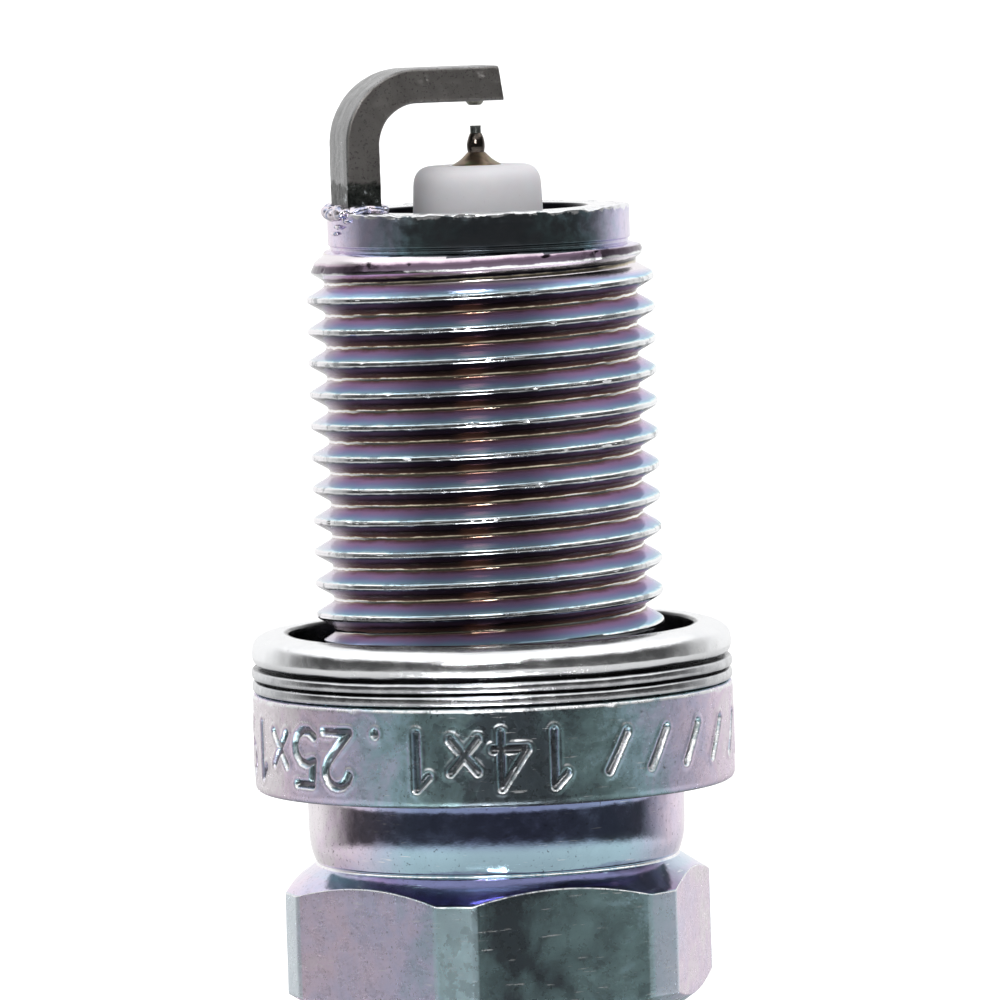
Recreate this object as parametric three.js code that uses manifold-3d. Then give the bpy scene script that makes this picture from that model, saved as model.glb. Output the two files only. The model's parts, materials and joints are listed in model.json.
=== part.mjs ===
// Spark plug: M14 x 1.25 thread of 19 mm reach, 16 mm (nominal) hexagon, flat gasket seat, resistor,
// iridium centre electrode and a removable terminal nut.
//
// Millimetres. +Z points to the firing end. The origin is on the axis, in the flange face that
// the gasket seals on, so the thread is above it and the hexagon and the insulator are below it.

import * as THREE from 'three';
import { mergeVertices } from 'three/addons/utils/BufferGeometryUtils.js';
import Module from 'manifold-3d';

const wasm = await Module();
wasm.setup();

// ---- driving dimensions ---------------------------------------------------------------------

const SIDES = 32; // sides of a turned piece
const SMALL_SIDES = 16; // sides of a turned piece under 5 mm across
const GAP = 0.02; // clearance between two pieces that touch
const CUT_PAST = 1; // how far a cutting solid runs past the surface it cuts

const THREAD = { radius: 6.95, rootRadius: 6.2, pitch: 1.25, phase: 0.5, low: 1.3, high: 17.5 };
const RUN_IN = { z: 16.1, radius: 6.4 }; // cone that starts the thread under the pilot
const REACH = 19; // seat face to the rim of the shell
const CORE_RADIUS = 6; // pilot above the thread and relief below it
const RIM_CHAMFER = 0.12;

const FLANGE = { radius: 9.55, height: 3.9, topChamfer: 0.16, bottomRound: 0.3 };
const NECK = { radius: 7.5, waistRadius: 7.25, waistHeight: 0.5 };
const HEX = { acrossFlats: 15.8, cornerRadius: 8.74, high: -6.9, low: -12.8, turn: 18.3 };
const HEX_CHAMFER = { radius: 7.2, height: 0.89 }; // 30 degree cone at both ends
const CRIMP = { low: -14.5, radius: 7.05, round: 0.9, lipRadius: 5.2, lipTop: -13.66 };

const BORE = { noseRadius: 4.3, ledgeRadius: 3.75, bodyRadius: 5.08, headRadius: 6.2 };
const LEDGE = { top: 6.9, high: 6.3, low: 5.2, bodyTop: 4.4 };
const SEAT_SLOPE = (LEDGE.low - LEDGE.bodyTop) / (BORE.bodyRadius - BORE.ledgeRadius);
const SHOULDER = { high: -4.9, low: -5.6 }; // where the bore opens to its widest

const PACKING = { inner: 3.95, outer: 4.85, thickness: 0.24 };
const WIRE_RADIUS = 0.5; // section of the two sealing rings under the crimp
const TALC_HEIGHT = 1.94; // of the powder packed between those rings

const GASKET = { outer: 9.55, opening: 8.07, lip: 6.65, height: 2.35, sheet: 0.36, groove: 0.25 };

const NOSE = { top: 20.7, radius: 2.51, rimRadius: 2.57, rootRadius: 3.5, round: 0.85 };
const INSULATOR = { bodyRadius: 5.04, headRadius: 6.14, stemRadius: 5.1, headLow: -9.6 };
const RIBS = { count: 5, first: -20, pitch: 3, valleyRadius: 4.35, crestRadius: 5, taper: 0.12 };
const RIB_CREST = { high: 0.3, low: 0.65 }; // ends of a crest, as shares of the pitch
const STEM_TAPER = 0.5;
const INSULATOR_END = { z: -42, radius: 4, chamfer: 0.4 };
const CENTRE_BORE = { electrodeRadius: 1.03, sealRadius: 1.95, stepHigh: 3.2, stepLow: 2.4 };

const ELECTRODE = { radius: 0.99, headRadius: 1.85, headLow: 1.2, coneHeight: 0.5, coneRadius: 0.35 };
const COPPER = { radius: 0.57, clearance: 0.03, top: 18.5 };
const TIP = { radius: 0.215, top: 22.25 };
const TIP_WELD = { height: 0.7, radius: 0.37, depth: 0.4, fillet: 0.06 };

const SEALS = { radius: 1.93, lowerLow: -2.5, resistorLow: -12.5, upperLow: -17.5 };
const STUD = { shankRadius: 1.7, shankEnd: -17.9 };
const KNURL = { radius: 1.46, rootRadius: 1.28, teeth: 12, high: -14.1, low: -18 };
const STUD_HEAD = { radius: 2.9, height: 0.8 };
const STUD_THREAD = { radius: 2, rootRadius: 1.6, pitch: 0.7, end: -50.2, chamfer: 0.4, overlap: 0.3 };

const NUT = { radius: 3.17, bore: 2.05, end: -50.5, chamfer: 0.35, lead: 0.9 };
const NUT_WAIST = { radius: 2.7, low: -46.2, high: -44.9, slope: 0.7 };

const BAR = { width: 2.7, thickness: 1.37, innerX: 4.31, bendRadius: 1.6, edge: 0.2 };
const ARM = { underside: 23.25, tipPastAxis: 0.62, tipSlant: 0.2, turn: 196.3 };
const PAD = { radius: 0.34, height: 0.19 };
const FLASH = { inner: 0.16, outer: 0.46, side: 0.26, height: 0.36 };

// ---- materials ------------------------------------------------------------------------------

const metal = (color, roughness) => new THREE.MeshStandardMaterial({ color, roughness, metalness: 1 });
const matte = (color, roughness) => new THREE.MeshStandardMaterial({ color, roughness, metalness: 0 });

const platedSteel = () => metal(0xb9aeb8, 0.28);
const nickelAlloy = () => metal(0x8f8b86, 0.5);
const weldMetal = () => metal(0x6d6570, 0.4);
const bareSteel = () => metal(0xb8b8ba, 0.35);
const nobleMetal = () => metal(0xc9c7c4, 0.25);
const copper = () => metal(0xb87350, 0.35);
const alumina = () => matte(0xf0eff4, 0.6);
const talc = () => matte(0xd8d4c8, 0.95);
const sealGlass = () => matte(0x4a3f38, 0.4);
const carbonGlass = () => matte(0x222224, 0.6);

// ---- shared geometry ------------------------------------------------------------------------

// One closed surface: shared corners merged, and the flat triangles at the axis left out.
function welded(geometry) {
  geometry.deleteAttribute('normal');
  geometry.deleteAttribute('uv');
  const merged = mergeVertices(geometry, 1e-4);
  const corners = merged.index.array;
  const kept = [];
  for (let i = 0; i < corners.length; i += 3) {
    const [a, b, c] = corners.slice(i, i + 3);
    if (a !== b && b !== c && c !== a) {
      kept.push(a, b, c);
    }
  }
  merged.setIndex(kept);
  return merged;
}

function toSolid(geometry) {
  const closed = welded(geometry);
  const vertProperties = new Float32Array(closed.attributes.position.array);
  const triVerts = new Uint32Array(closed.index.array);
  return new wasm.Manifold(new wasm.Mesh({ numProp: 3, vertProperties, triVerts }));
}

function toGeometry(solid) {
  const mesh = solid.getMesh();
  const geometry = new THREE.BufferGeometry();
  geometry.setAttribute('position', new THREE.BufferAttribute(mesh.vertProperties, 3));
  geometry.setIndex(new THREE.BufferAttribute(mesh.triVerts, 1));
  return geometry;
}

// A turned piece. The outline is a list of [radius, z], counter-clockwise with the radius to the
// right, and starts and ends on the axis or closes on itself.
function turned(outline, sides = SIDES) {
  const points = outline.map(([radius, z]) => new THREE.Vector2(radius, z));
  return new THREE.LatheGeometry(points, sides).rotateX(Math.PI / 2);
}

const turnedRing = (outline, sides = SIDES) => turned([...outline, outline[0]], sides);

const turnedRod = (radius, low, high, sides = SMALL_SIDES) =>
  turned([[0, low], [radius, low], [radius, high], [0, high]], sides);

// A turned ring of rectangular section.
const washer = (inner, outer, low, high) =>
  turnedRing([[inner, low], [outer, low], [outer, high], [inner, high]]);

// Points on an arc in the outline's plane, both ends included.
function arc(radius, z, size, fromDegrees, toDegrees, steps) {
  return Array.from({ length: steps + 1 }, (_, i) => {
    const angle = THREE.MathUtils.degToRad(fromDegrees + ((toDegrees - fromDegrees) * i) / steps);
    return [radius + size * Math.cos(angle), z + size * Math.sin(angle)];
  });
}

// A bar with a right-hand thread from one helical surface: every row of points climbs one pitch
// in a turn, so the end of a row is the start of the row one pitch higher. Both ends close in a
// fan to a point on the axis, well outside low and high, and the caller cuts them off.
function threadedBar({ radius, rootRadius, pitch, phase = 0 }, low, high, sides) {
  const flank = (radius - rootRadius) * Math.tan(Math.PI / 6);
  const crest = pitch / 8;
  const section = [
    [rootRadius, 0],
    [radius, flank],
    [radius, flank + crest],
    [rootRadius, 2 * flank + crest],
  ];
  const start = (Math.floor(low / pitch) - 2 + phase) * pitch;
  const turns = Math.ceil((high - start) / pitch) + 1;
  const rows = turns * section.length + 1;
  const positions = [];
  for (let row = 0; row < rows; row += 1) {
    const [rowRadius, rise] = section[row % section.length];
    const rowZ = start + Math.floor(row / section.length) * pitch + rise;
    for (let side = 0; side <= sides; side += 1) {
      const angle = (2 * Math.PI * side) / sides;
      const z = rowZ + (pitch * side) / sides;
      positions.push(rowRadius * Math.cos(angle), rowRadius * Math.sin(angle), z);
    }
  }
  const at = (row, side) => row * (sides + 1) + side;
  const corners = [];
  for (let row = 0; row < rows - 1; row += 1) {
    for (let side = 0; side < sides; side += 1) {
      corners.push(at(row, side), at(row, side + 1), at(row + 1, side + 1));
      corners.push(at(row, side), at(row + 1, side + 1), at(row + 1, side));
    }
  }
  const along = (row) => Array.from({ length: sides + 1 }, (_, side) => at(row, side));
  const down = (row, side) => section.map((_, step) => at(row - 1 - step, side));
  const bottomLoop = [...along(0), ...down(section.length, 0)];
  const topLoop = [...along(rows - 1), ...down(rows - 1, sides)];
  const bottomPoint = positions.length / 3;
  positions.push(0, 0, start - pitch);
  positions.push(0, 0, start + (turns + 2) * pitch);
  for (let i = 0; i < bottomLoop.length - 1; i += 1) {
    corners.push(bottomPoint, bottomLoop[i + 1], bottomLoop[i]);
    corners.push(bottomPoint + 1, topLoop[i], topLoop[i + 1]);
  }
  const geometry = new THREE.BufferGeometry();
  geometry.setAttribute('position', new THREE.Float32BufferAttribute(positions, 3));
  geometry.setIndex(corners);
  return toSolid(geometry);
}

function node(name, geometry, material) {
  const mesh = new THREE.Mesh(welded(geometry), material);
  mesh.name = name;
  return mesh;
}

// ---- shell ----------------------------------------------------------------------------------

function shellTurning() {
  const { radius, height, topChamfer, bottomRound } = FLANGE;
  return toSolid(turned([
    [0, CRIMP.low],
    [CRIMP.radius - CRIMP.round, CRIMP.low],
    ...arc(CRIMP.radius - CRIMP.round, CRIMP.low + CRIMP.round, CRIMP.round, -60, 0, 3),
    [CRIMP.radius, HEX.low],
    [HEX_CHAMFER.radius, HEX.low],
    [NECK.waistRadius, HEX.high],
    [NECK.radius, HEX.high + NECK.waistHeight],
    [NECK.radius, -height],
    ...arc(radius - bottomRound, bottomRound - height, bottomRound, -90, 0, 3),
    [radius, -topChamfer],
    [radius - topChamfer, 0],
    [CORE_RADIUS, 0],
    [CORE_RADIUS, REACH - RIM_CHAMFER],
    [CORE_RADIUS - RIM_CHAMFER, REACH],
    [0, REACH],
  ]));
}

function shellThread() {
  const runOut = THREAD.radius - CORE_RADIUS;
  const envelope = toSolid(turned([
    [0, THREAD.low],
    [CORE_RADIUS, THREAD.low],
    [THREAD.radius + GAP, THREAD.low + runOut],
    [THREAD.radius + GAP, RUN_IN.z],
    [RUN_IN.radius, THREAD.high - GAP],
    [CORE_RADIUS, THREAD.high],
    [0, THREAD.high],
  ]));
  return threadedBar(THREAD, THREAD.low, THREAD.high, SIDES).intersect(envelope);
}

function shellHexagon() {
  const outline = new THREE.Shape();
  const circumradius = HEX.acrossFlats / 2 / Math.cos(Math.PI / 6);
  for (let corner = 0; corner < 6; corner += 1) {
    const angle = THREE.MathUtils.degToRad(HEX.turn + 60 * corner);
    outline.lineTo(circumradius * Math.cos(angle), circumradius * Math.sin(angle));
  }
  outline.curves.shift();
  const prism = new THREE.ExtrudeGeometry(outline, { depth: HEX.high - HEX.low, bevelEnabled: false });
  prism.translate(0, 0, HEX.low);
  const envelope = turned([
    [0, HEX.low],
    [HEX_CHAMFER.radius, HEX.low],
    [HEX.cornerRadius, HEX.low + HEX_CHAMFER.height],
    [HEX.cornerRadius, HEX.high - HEX_CHAMFER.height],
    [HEX_CHAMFER.radius, HEX.high],
    [0, HEX.high],
  ]);
  return toSolid(prism).intersect(toSolid(envelope));
}

function shellBore() {
  return toSolid(turned([
    [0, CRIMP.low - CUT_PAST],
    [CRIMP.lipRadius, CRIMP.low - CUT_PAST],
    [CRIMP.lipRadius, CRIMP.lipTop],
    [BORE.headRadius, CRIMP.lipTop],
    [BORE.headRadius, SHOULDER.low],
    [BORE.bodyRadius, SHOULDER.high],
    [BORE.bodyRadius, LEDGE.bodyTop],
    [BORE.ledgeRadius, LEDGE.low],
    [BORE.ledgeRadius, LEDGE.high],
    [BORE.noseRadius, LEDGE.top],
    [BORE.noseRadius, REACH + CUT_PAST],
    [0, REACH + CUT_PAST],
  ]));
}

function shell() {
  const outside = shellTurning().add(shellThread()).add(shellHexagon());
  return node('shell', toGeometry(outside.subtract(shellBore())), platedSteel());
}

// ---- gasket ---------------------------------------------------------------------------------

// The sheet is folded to three layers at the outside. Its lowest layer runs inward as a lip that
// is smaller than the thread, so the gasket turns freely but can't come off.
function gasket() {
  const { outer, opening, lip, height, sheet, groove } = GASKET;
  const crest = height - sheet;
  const valley = outer - groove;
  return node('gasket', turnedRing([
    [lip, GAP],
    [valley, GAP],
    [outer, 0.5 * sheet],
    [valley, sheet],
    [valley, 1.2 * sheet],
    [outer, 1.7 * sheet],
    [valley, 2.2 * sheet],
    [valley, 2.4 * sheet],
    [outer, 3.3 * sheet],
    [outer, crest],
    [outer - sheet, height],
    [opening + sheet, height],
    [opening, crest],
    [opening, 1.6 * sheet],
    [lip, sheet],
  ]), bareSteel());
}

// ---- seals inside the shell -----------------------------------------------------------------

const seatHeight = (radius) => LEDGE.low - SEAT_SLOPE * (radius - BORE.ledgeRadius);

function seatPacking() {
  const { inner, outer, thickness } = PACKING;
  const top = (radius) => seatHeight(radius) - GAP;
  return node('seat_packing', turnedRing([
    [inner, top(inner) - thickness],
    [outer, top(outer) - thickness],
    [outer, top(outer)],
    [inner, top(inner)],
  ]), bareSteel());
}

function wireRing(name, top) {
  const ring = new THREE.TorusGeometry((BORE.headRadius + INSULATOR.stemRadius) / 2, WIRE_RADIUS, 8, SIDES);
  ring.translate(0, 0, top - WIRE_RADIUS);
  return node(name, ring, bareSteel());
}

function crimpSeals() {
  const lowerTop = INSULATOR.headLow - GAP;
  const talcTop = lowerTop - 2 * WIRE_RADIUS - GAP;
  const talcLow = talcTop - TALC_HEIGHT;
  const powder = washer(INSULATOR.stemRadius + GAP, BORE.headRadius - GAP, talcLow, talcTop);
  return [
    wireRing('lower_wire_ring', lowerTop),
    node('talc_seal', powder, talc()),
    wireRing('upper_wire_ring', talcLow - GAP),
  ];
}

// ---- insulator ------------------------------------------------------------------------------

function ribOutline() {
  const outline = [];
  for (let rib = RIBS.count - 1; rib >= 0; rib -= 1) {
    const top = RIBS.first - rib * RIBS.pitch;
    const crest = RIBS.crestRadius - RIBS.taper * rib;
    const valley = RIBS.valleyRadius - RIBS.taper * rib;
    outline.push([valley, top - RIBS.pitch]);
    outline.push([crest, top - RIB_CREST.low * RIBS.pitch]);
    outline.push([crest, top - RIB_CREST.high * RIBS.pitch]);
    outline.push([valley, top]);
  }
  return outline;
}

function insulator() {
  const seatTop = seatHeight(NOSE.rootRadius) - PACKING.thickness - 2 * GAP;
  const seatLow = seatHeight(INSULATOR.bodyRadius) - PACKING.thickness - 2 * GAP;
  const { electrodeRadius, sealRadius, stepHigh, stepLow } = CENTRE_BORE;
  return node('insulator', turnedRing([
    [sealRadius, INSULATOR_END.z],
    [INSULATOR_END.radius - INSULATOR_END.chamfer, INSULATOR_END.z],
    [INSULATOR_END.radius, INSULATOR_END.z + INSULATOR_END.chamfer],
    ...ribOutline(),
    [INSULATOR.stemRadius, RIBS.first + STEM_TAPER],
    [INSULATOR.stemRadius, INSULATOR.headLow],
    [INSULATOR.headRadius, INSULATOR.headLow],
    [INSULATOR.headRadius, SHOULDER.low - 10 * GAP],
    [INSULATOR.bodyRadius, SHOULDER.high - 5 * GAP],
    [INSULATOR.bodyRadius, seatLow],
    [NOSE.rootRadius, seatTop],
    [NOSE.rootRadius, LEDGE.high],
    [NOSE.rimRadius, REACH],
    ...arc(NOSE.radius - NOSE.round, NOSE.top - NOSE.round, NOSE.round, 0, 90, 4),
    [electrodeRadius, NOSE.top],
    [electrodeRadius, stepHigh],
    [sealRadius, stepLow],
  ]), alumina());
}

// ---- centre electrode and conductor stack ---------------------------------------------------

function centerElectrode() {
  const { radius, headRadius, headLow, coneHeight, coneRadius } = ELECTRODE;
  const coreBore = COPPER.radius + COPPER.clearance;
  return node('center_electrode', turned([
    [0, COPPER.top + COPPER.clearance],
    [coreBore, COPPER.top + COPPER.clearance],
    [coreBore, headLow],
    [headRadius, headLow],
    [headRadius, CENTRE_BORE.stepLow - 5 * GAP],
    [radius, CENTRE_BORE.stepHigh - 5 * GAP],
    [radius, NOSE.top],
    [coneRadius, NOSE.top + coneHeight],
    [0, NOSE.top + coneHeight],
  ], SMALL_SIDES), nickelAlloy());
}

// The weld bead is a short barrel round the root of the wire.
function tipWeld() {
  const low = NOSE.top + ELECTRODE.coneHeight;
  const high = low + TIP_WELD.height;
  const socket = TIP.radius + 0.5 * GAP;
  return node('tip_weld', turned([
    [0, low],
    [ELECTRODE.coneRadius, low],
    [TIP_WELD.radius, low + TIP_WELD.height / 4],
    [TIP_WELD.radius, high - TIP_WELD.height / 4],
    [TIP.radius + TIP_WELD.fillet, high],
    [socket, high],
    [socket, high - TIP_WELD.depth],
    [0, high - TIP_WELD.depth],
  ], SMALL_SIDES), weldMetal());
}

function conductors() {
  const weldTop = NOSE.top + ELECTRODE.coneHeight + TIP_WELD.height;
  const wireLow = weldTop - TIP_WELD.depth + GAP;
  const socketEnd = KNURL.high + GAP;
  const socket = KNURL.radius + GAP;
  const upperSeal = turned([
    [0, socketEnd],
    [socket, socketEnd],
    [socket, SEALS.upperLow],
    [SEALS.radius, SEALS.upperLow],
    [SEALS.radius, SEALS.resistorLow - GAP],
    [0, SEALS.resistorLow - GAP],
  ], SMALL_SIDES);
  const lowerSeal = turnedRod(SEALS.radius, SEALS.lowerLow, ELECTRODE.headLow - GAP);
  const resistor = turnedRod(SEALS.radius, SEALS.resistorLow, SEALS.lowerLow - GAP);
  return [
    node('copper_core', turnedRod(COPPER.radius, ELECTRODE.headLow, COPPER.top), copper()),
    node('iridium_tip', turnedRod(TIP.radius, wireLow, TIP.top), nobleMetal()),
    node('lower_glass_seal', lowerSeal, sealGlass()),
    node('resistor', resistor, carbonGlass()),
    node('upper_glass_seal', upperSeal, sealGlass()),
  ];
}

// ---- terminal -------------------------------------------------------------------------------

// The knurled end is a toothed prism, so that the glass seal grips it.
function studKnurl() {
  const outline = new THREE.Shape();
  for (let step = 0; step < 2 * KNURL.teeth; step += 1) {
    const angle = (Math.PI * step) / KNURL.teeth;
    const radius = step % 2 === 0 ? KNURL.radius : KNURL.rootRadius;
    outline.lineTo(radius * Math.cos(angle), radius * Math.sin(angle));
  }
  outline.curves.shift();
  const prism = new THREE.ExtrudeGeometry(outline, { depth: KNURL.high - KNURL.low, bevelEnabled: false });
  return toSolid(prism.translate(0, 0, KNURL.low));
}

function terminalStud() {
  const headHigh = INSULATOR_END.z - GAP;
  const headLow = headHigh - STUD_HEAD.height;
  const shank = toSolid(turned([
    [0, headLow],
    [STUD_HEAD.radius, headLow],
    [STUD_HEAD.radius, headHigh],
    [STUD.shankRadius, headHigh],
    [STUD.shankRadius, STUD.shankEnd],
    [0, STUD.shankEnd],
  ], SMALL_SIDES));
  const threadEnvelope = toSolid(turned([
    [0, STUD_THREAD.end],
    [STUD_THREAD.rootRadius, STUD_THREAD.end],
    [STUD_THREAD.radius, STUD_THREAD.end + STUD_THREAD.chamfer],
    [STUD_THREAD.radius, headLow + STUD_THREAD.overlap],
    [0, headLow + STUD_THREAD.overlap],
  ], SMALL_SIDES));
  const thread = threadedBar(STUD_THREAD, STUD_THREAD.end, headLow, SMALL_SIDES).intersect(threadEnvelope);
  return node('terminal_stud', toGeometry(shank.add(studKnurl()).add(thread)), bareSteel());
}

function terminalNut() {
  const high = INSULATOR_END.z - STUD_HEAD.height - 2 * GAP;
  const { radius, bore, end, chamfer, lead } = NUT;
  return node('terminal_nut', turnedRing([
    [bore, end],
    [radius - chamfer, end],
    [radius, end + lead],
    [radius, NUT_WAIST.low - NUT_WAIST.slope],
    [NUT_WAIST.radius, NUT_WAIST.low],
    [NUT_WAIST.radius, NUT_WAIST.high],
    [radius, NUT_WAIST.high + NUT_WAIST.slope],
    [radius, high - chamfer],
    [radius - chamfer, high],
    [bore, high],
  ]), bareSteel());
}

// ---- ground electrode -----------------------------------------------------------------------

// The bar's side view: up from the rim, round the bend and across the axis. X is the distance
// from the axis and Y is the height.
function barOutline() {
  const outerX = BAR.innerX + BAR.thickness;
  const top = ARM.underside + BAR.thickness;
  const bendX = BAR.innerX - BAR.bendRadius;
  const bendZ = ARM.underside - BAR.bendRadius;
  const outline = new THREE.Shape();
  outline.moveTo(BAR.innerX, REACH);
  outline.lineTo(outerX, REACH);
  outline.absarc(bendX, bendZ, BAR.bendRadius + BAR.thickness, 0, Math.PI / 2, false);
  outline.lineTo(-ARM.tipPastAxis, top);
  outline.lineTo(-ARM.tipPastAxis - ARM.tipSlant, ARM.underside);
  outline.absarc(bendX, bendZ, BAR.bendRadius, Math.PI / 2, 0, true);
  return outline;
}

function groundBar() {
  const bar = new THREE.ExtrudeGeometry(barOutline(), {
    depth: BAR.width - 2 * BAR.edge,
    curveSegments: 8,
    bevelThickness: BAR.edge,
    bevelSize: BAR.edge,
    bevelOffset: -BAR.edge,
    bevelSegments: 2,
  });
  bar.rotateX(Math.PI / 2);
  bar.translate(0, BAR.width / 2 - BAR.edge, 0);
  return node('ground_electrode', bar, nickelAlloy());
}

const rectangle = (lowX, highX, halfWidth) => [
  new THREE.Vector2(lowX, -halfWidth),
  new THREE.Vector2(highX, -halfWidth),
  new THREE.Vector2(highX, halfWidth),
  new THREE.Vector2(lowX, halfWidth),
];

// The upset metal that the resistance weld squeezes out round the foot of the bar.
function weldFlash() {
  const outerX = BAR.innerX + BAR.thickness;
  const halfWidth = BAR.width / 2;
  const outline = new THREE.Shape(
    rectangle(BAR.innerX - FLASH.inner, outerX + FLASH.outer, halfWidth + FLASH.side));
  outline.holes.push(new THREE.Path(rectangle(BAR.innerX - GAP, outerX + GAP, halfWidth + GAP)));
  const flash = new THREE.ExtrudeGeometry(outline, { depth: FLASH.height, bevelEnabled: false });
  flash.translate(0, 0, REACH);
  return node('ground_weld_flash', flash, weldMetal());
}

function platinumPad() {
  const pad = turnedRod(PAD.radius, ARM.underside - PAD.height, ARM.underside);
  return node('platinum_pad', pad, nobleMetal());
}

function groundElectrode() {
  const group = new THREE.Group();
  group.add(groundBar(), weldFlash(), platinumPad());
  group.rotation.z = THREE.MathUtils.degToRad(ARM.turn);
  return group;
}

// ---- assembly -------------------------------------------------------------------------------

const sparkPlug = new THREE.Group();
sparkPlug.add(
  shell(),
  groundElectrode(),
  gasket(),
  insulator(),
  seatPacking(),
  ...crimpSeals(),
  centerElectrode(),
  tipWeld(),
  ...conductors(),
  terminalStud(),
  terminalNut(),
);

export default sparkPlug;
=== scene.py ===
import itertools
import json
import math

import bmesh
import bpy
import numpy as np
from mathutils import Matrix, Quaternion, Vector


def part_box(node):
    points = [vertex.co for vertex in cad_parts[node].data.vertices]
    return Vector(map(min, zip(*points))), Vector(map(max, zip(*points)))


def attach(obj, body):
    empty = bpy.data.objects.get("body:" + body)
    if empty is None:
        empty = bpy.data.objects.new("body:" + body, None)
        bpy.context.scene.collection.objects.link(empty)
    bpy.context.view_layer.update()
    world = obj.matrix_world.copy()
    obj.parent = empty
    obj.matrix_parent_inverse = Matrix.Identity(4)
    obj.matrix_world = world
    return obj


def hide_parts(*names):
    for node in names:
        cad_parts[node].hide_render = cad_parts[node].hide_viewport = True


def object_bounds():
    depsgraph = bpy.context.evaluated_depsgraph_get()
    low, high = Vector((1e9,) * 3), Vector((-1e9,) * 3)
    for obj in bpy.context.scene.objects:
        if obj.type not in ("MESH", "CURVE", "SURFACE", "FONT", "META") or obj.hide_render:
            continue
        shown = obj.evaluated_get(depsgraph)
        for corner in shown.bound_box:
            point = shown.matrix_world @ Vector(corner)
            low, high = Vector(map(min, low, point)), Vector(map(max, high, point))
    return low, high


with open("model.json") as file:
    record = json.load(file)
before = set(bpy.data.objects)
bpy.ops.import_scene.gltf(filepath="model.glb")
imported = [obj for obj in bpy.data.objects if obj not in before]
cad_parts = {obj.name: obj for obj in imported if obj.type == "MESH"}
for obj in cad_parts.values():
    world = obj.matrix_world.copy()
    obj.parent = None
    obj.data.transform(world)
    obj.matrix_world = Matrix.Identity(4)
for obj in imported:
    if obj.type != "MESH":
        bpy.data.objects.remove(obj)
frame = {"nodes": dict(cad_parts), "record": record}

# The looks of the spark plug. The shapes are worked out in millimetres and written in metres, in
# the frame's axes: +Z is the firing end, and the origin is in the flange face under the gasket.

MM = 0.001
cad_low, cad_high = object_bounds()


def reach_of(node):
    """Lowest and highest corner of a CAD node, in millimetres."""
    low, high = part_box(node)
    return np.array(low) / MM, np.array(high) / MM


SHELL_LOW, SHELL_HIGH = reach_of("shell")
INSULATOR_LOW, INSULATOR_HIGH = reach_of("insulator")
NUT_LOW, NUT_HIGH = reach_of("terminal_nut")
WELD_LOW, WELD_HIGH = reach_of("tip_weld")
PAD_LOW, PAD_HIGH = reach_of("platinum_pad")
STUD_LOW = reach_of("terminal_stud")[0]
GASKET_HIGH = reach_of("gasket")[1]
BAR_HIGH = reach_of("ground_electrode")[1]
ELECTRODE_HIGH = reach_of("center_electrode")[1]
TIP_HIGH = reach_of("iridium_tip")[1]

# ---- sizes, in millimetres ------------------------------------------------------------------

RIM = SHELL_HIGH[2]
FLANGE = {"radius": SHELL_HIGH[0], "low": -3.9, "inner": 5.2}
THREAD = {"crest": 6.93, "root": 6.2, "pitch": 1.25, "first": 1.153, "core": 6.0, "seam": 0.035}
# The thread reaches full depth at "full", starts to fade at "lead" and is gone at "high".
SHANK = {"low": 1.25, "full": 2.35, "lead": 16.1, "end": 17.38, "high": 17.5, "end_radius": 6.4}
NOSE_BORE = 4.3
BODY_BORE = 5.08
LEDGE = {"radius": 3.75, "low": 5.2, "high": 6.3}
PACKING_BORE = {"radius": 6.2, "cone_low": -5.6, "cone_high": -4.9}
NECK_RADIUS = 7.5
HEX = {"flat": 7.88, "corner": 8.7, "turn": 18.3, "high": -6.9, "low": -12.8, "cone": 7.25}
CRIMP = {"low": SHELL_LOW[2], "radius": 7.05, "lip": 5.2, "wall": 0.84}
GASKET = {"opening": 8.07, "catch": 6.65, "grooves": (0.53, 1.03), "dome": 1.42}
# The insulator from the terminal end up, and its two bores.
RIBS = {"count": 5, "pitch": 3.0, "first": -20.0, "crest": 5.08, "valley": 4.45}
SHOULDER = {"radius": 6.14, "low": -9.6, "high": -5.8}
SEAT_CONE = {"radius": 5.04, "low": 4.15, "high": 5.05}
NOSE = {"root": 3.5, "at_rim": 2.57, "end": 2.51}
ELECTRODE_BORE = {"radius": 1.02, "low": 3.2}
STUD_BORE = {"radius": 1.95, "high": 2.4}
STUD_THREAD = {"crest": 1.98, "root": 1.58, "pitch": 0.7, "first": -45.0, "seam": 0.01}
NUT = {"bore": 2.06, "waist": 2.7}
STAMP = {"high": -0.97, "height": 2.15, "advance": 1.82, "start": 3.1, "width": 0.19, "depth": 0.18}
SLASH = {"first": 30.3, "step": 12.0, "count": 8, "high": -1.2, "low": -2.68, "lean": 0.42}
BAR = {"width": 2.7, "thickness": 1.37, "inner": 4.31, "bend": 1.6, "turn": 196.3, "round": 0.13}
BAR_UNDERSIDE = BAR_HIGH[2] - BAR["thickness"]
BAR_TIP = {"past": 0.62, "slant": 0.2, "slant_rows": 9}

# ---- mesh helpers ---------------------------------------------------------------------------


def value_noise(points, scale, seed):
    """Smooth noise from -1 to 1 at points in millimetres, the same on every run."""
    place = np.asarray(points, float) / scale + 31.7 * seed
    cell = np.floor(place).astype(np.int64)
    share = place - cell
    share = share * share * (3 - 2 * share)
    total = np.zeros(place.shape[:-1])
    for corner in itertools.product((0, 1), repeat=3):
        at = cell + np.array(corner)
        mixed = (at[..., 0] * 73856093) ^ (at[..., 1] * 19349663) ^ (at[..., 2] * 83492791)
        mixed = (mixed ^ (mixed >> 13)) * 1274126177
        value = (mixed & 0xFFFFFF) / 0x7FFFFF - 1
        weight = np.prod(np.where(np.array(corner) == 1, share, 1 - share), axis=-1)
        total += weight * value
    return total


def smooth_step(value, low, high):
    share = np.clip((value - low) / (high - low), 0, 1)
    return share * share * (3 - 2 * share)


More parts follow.
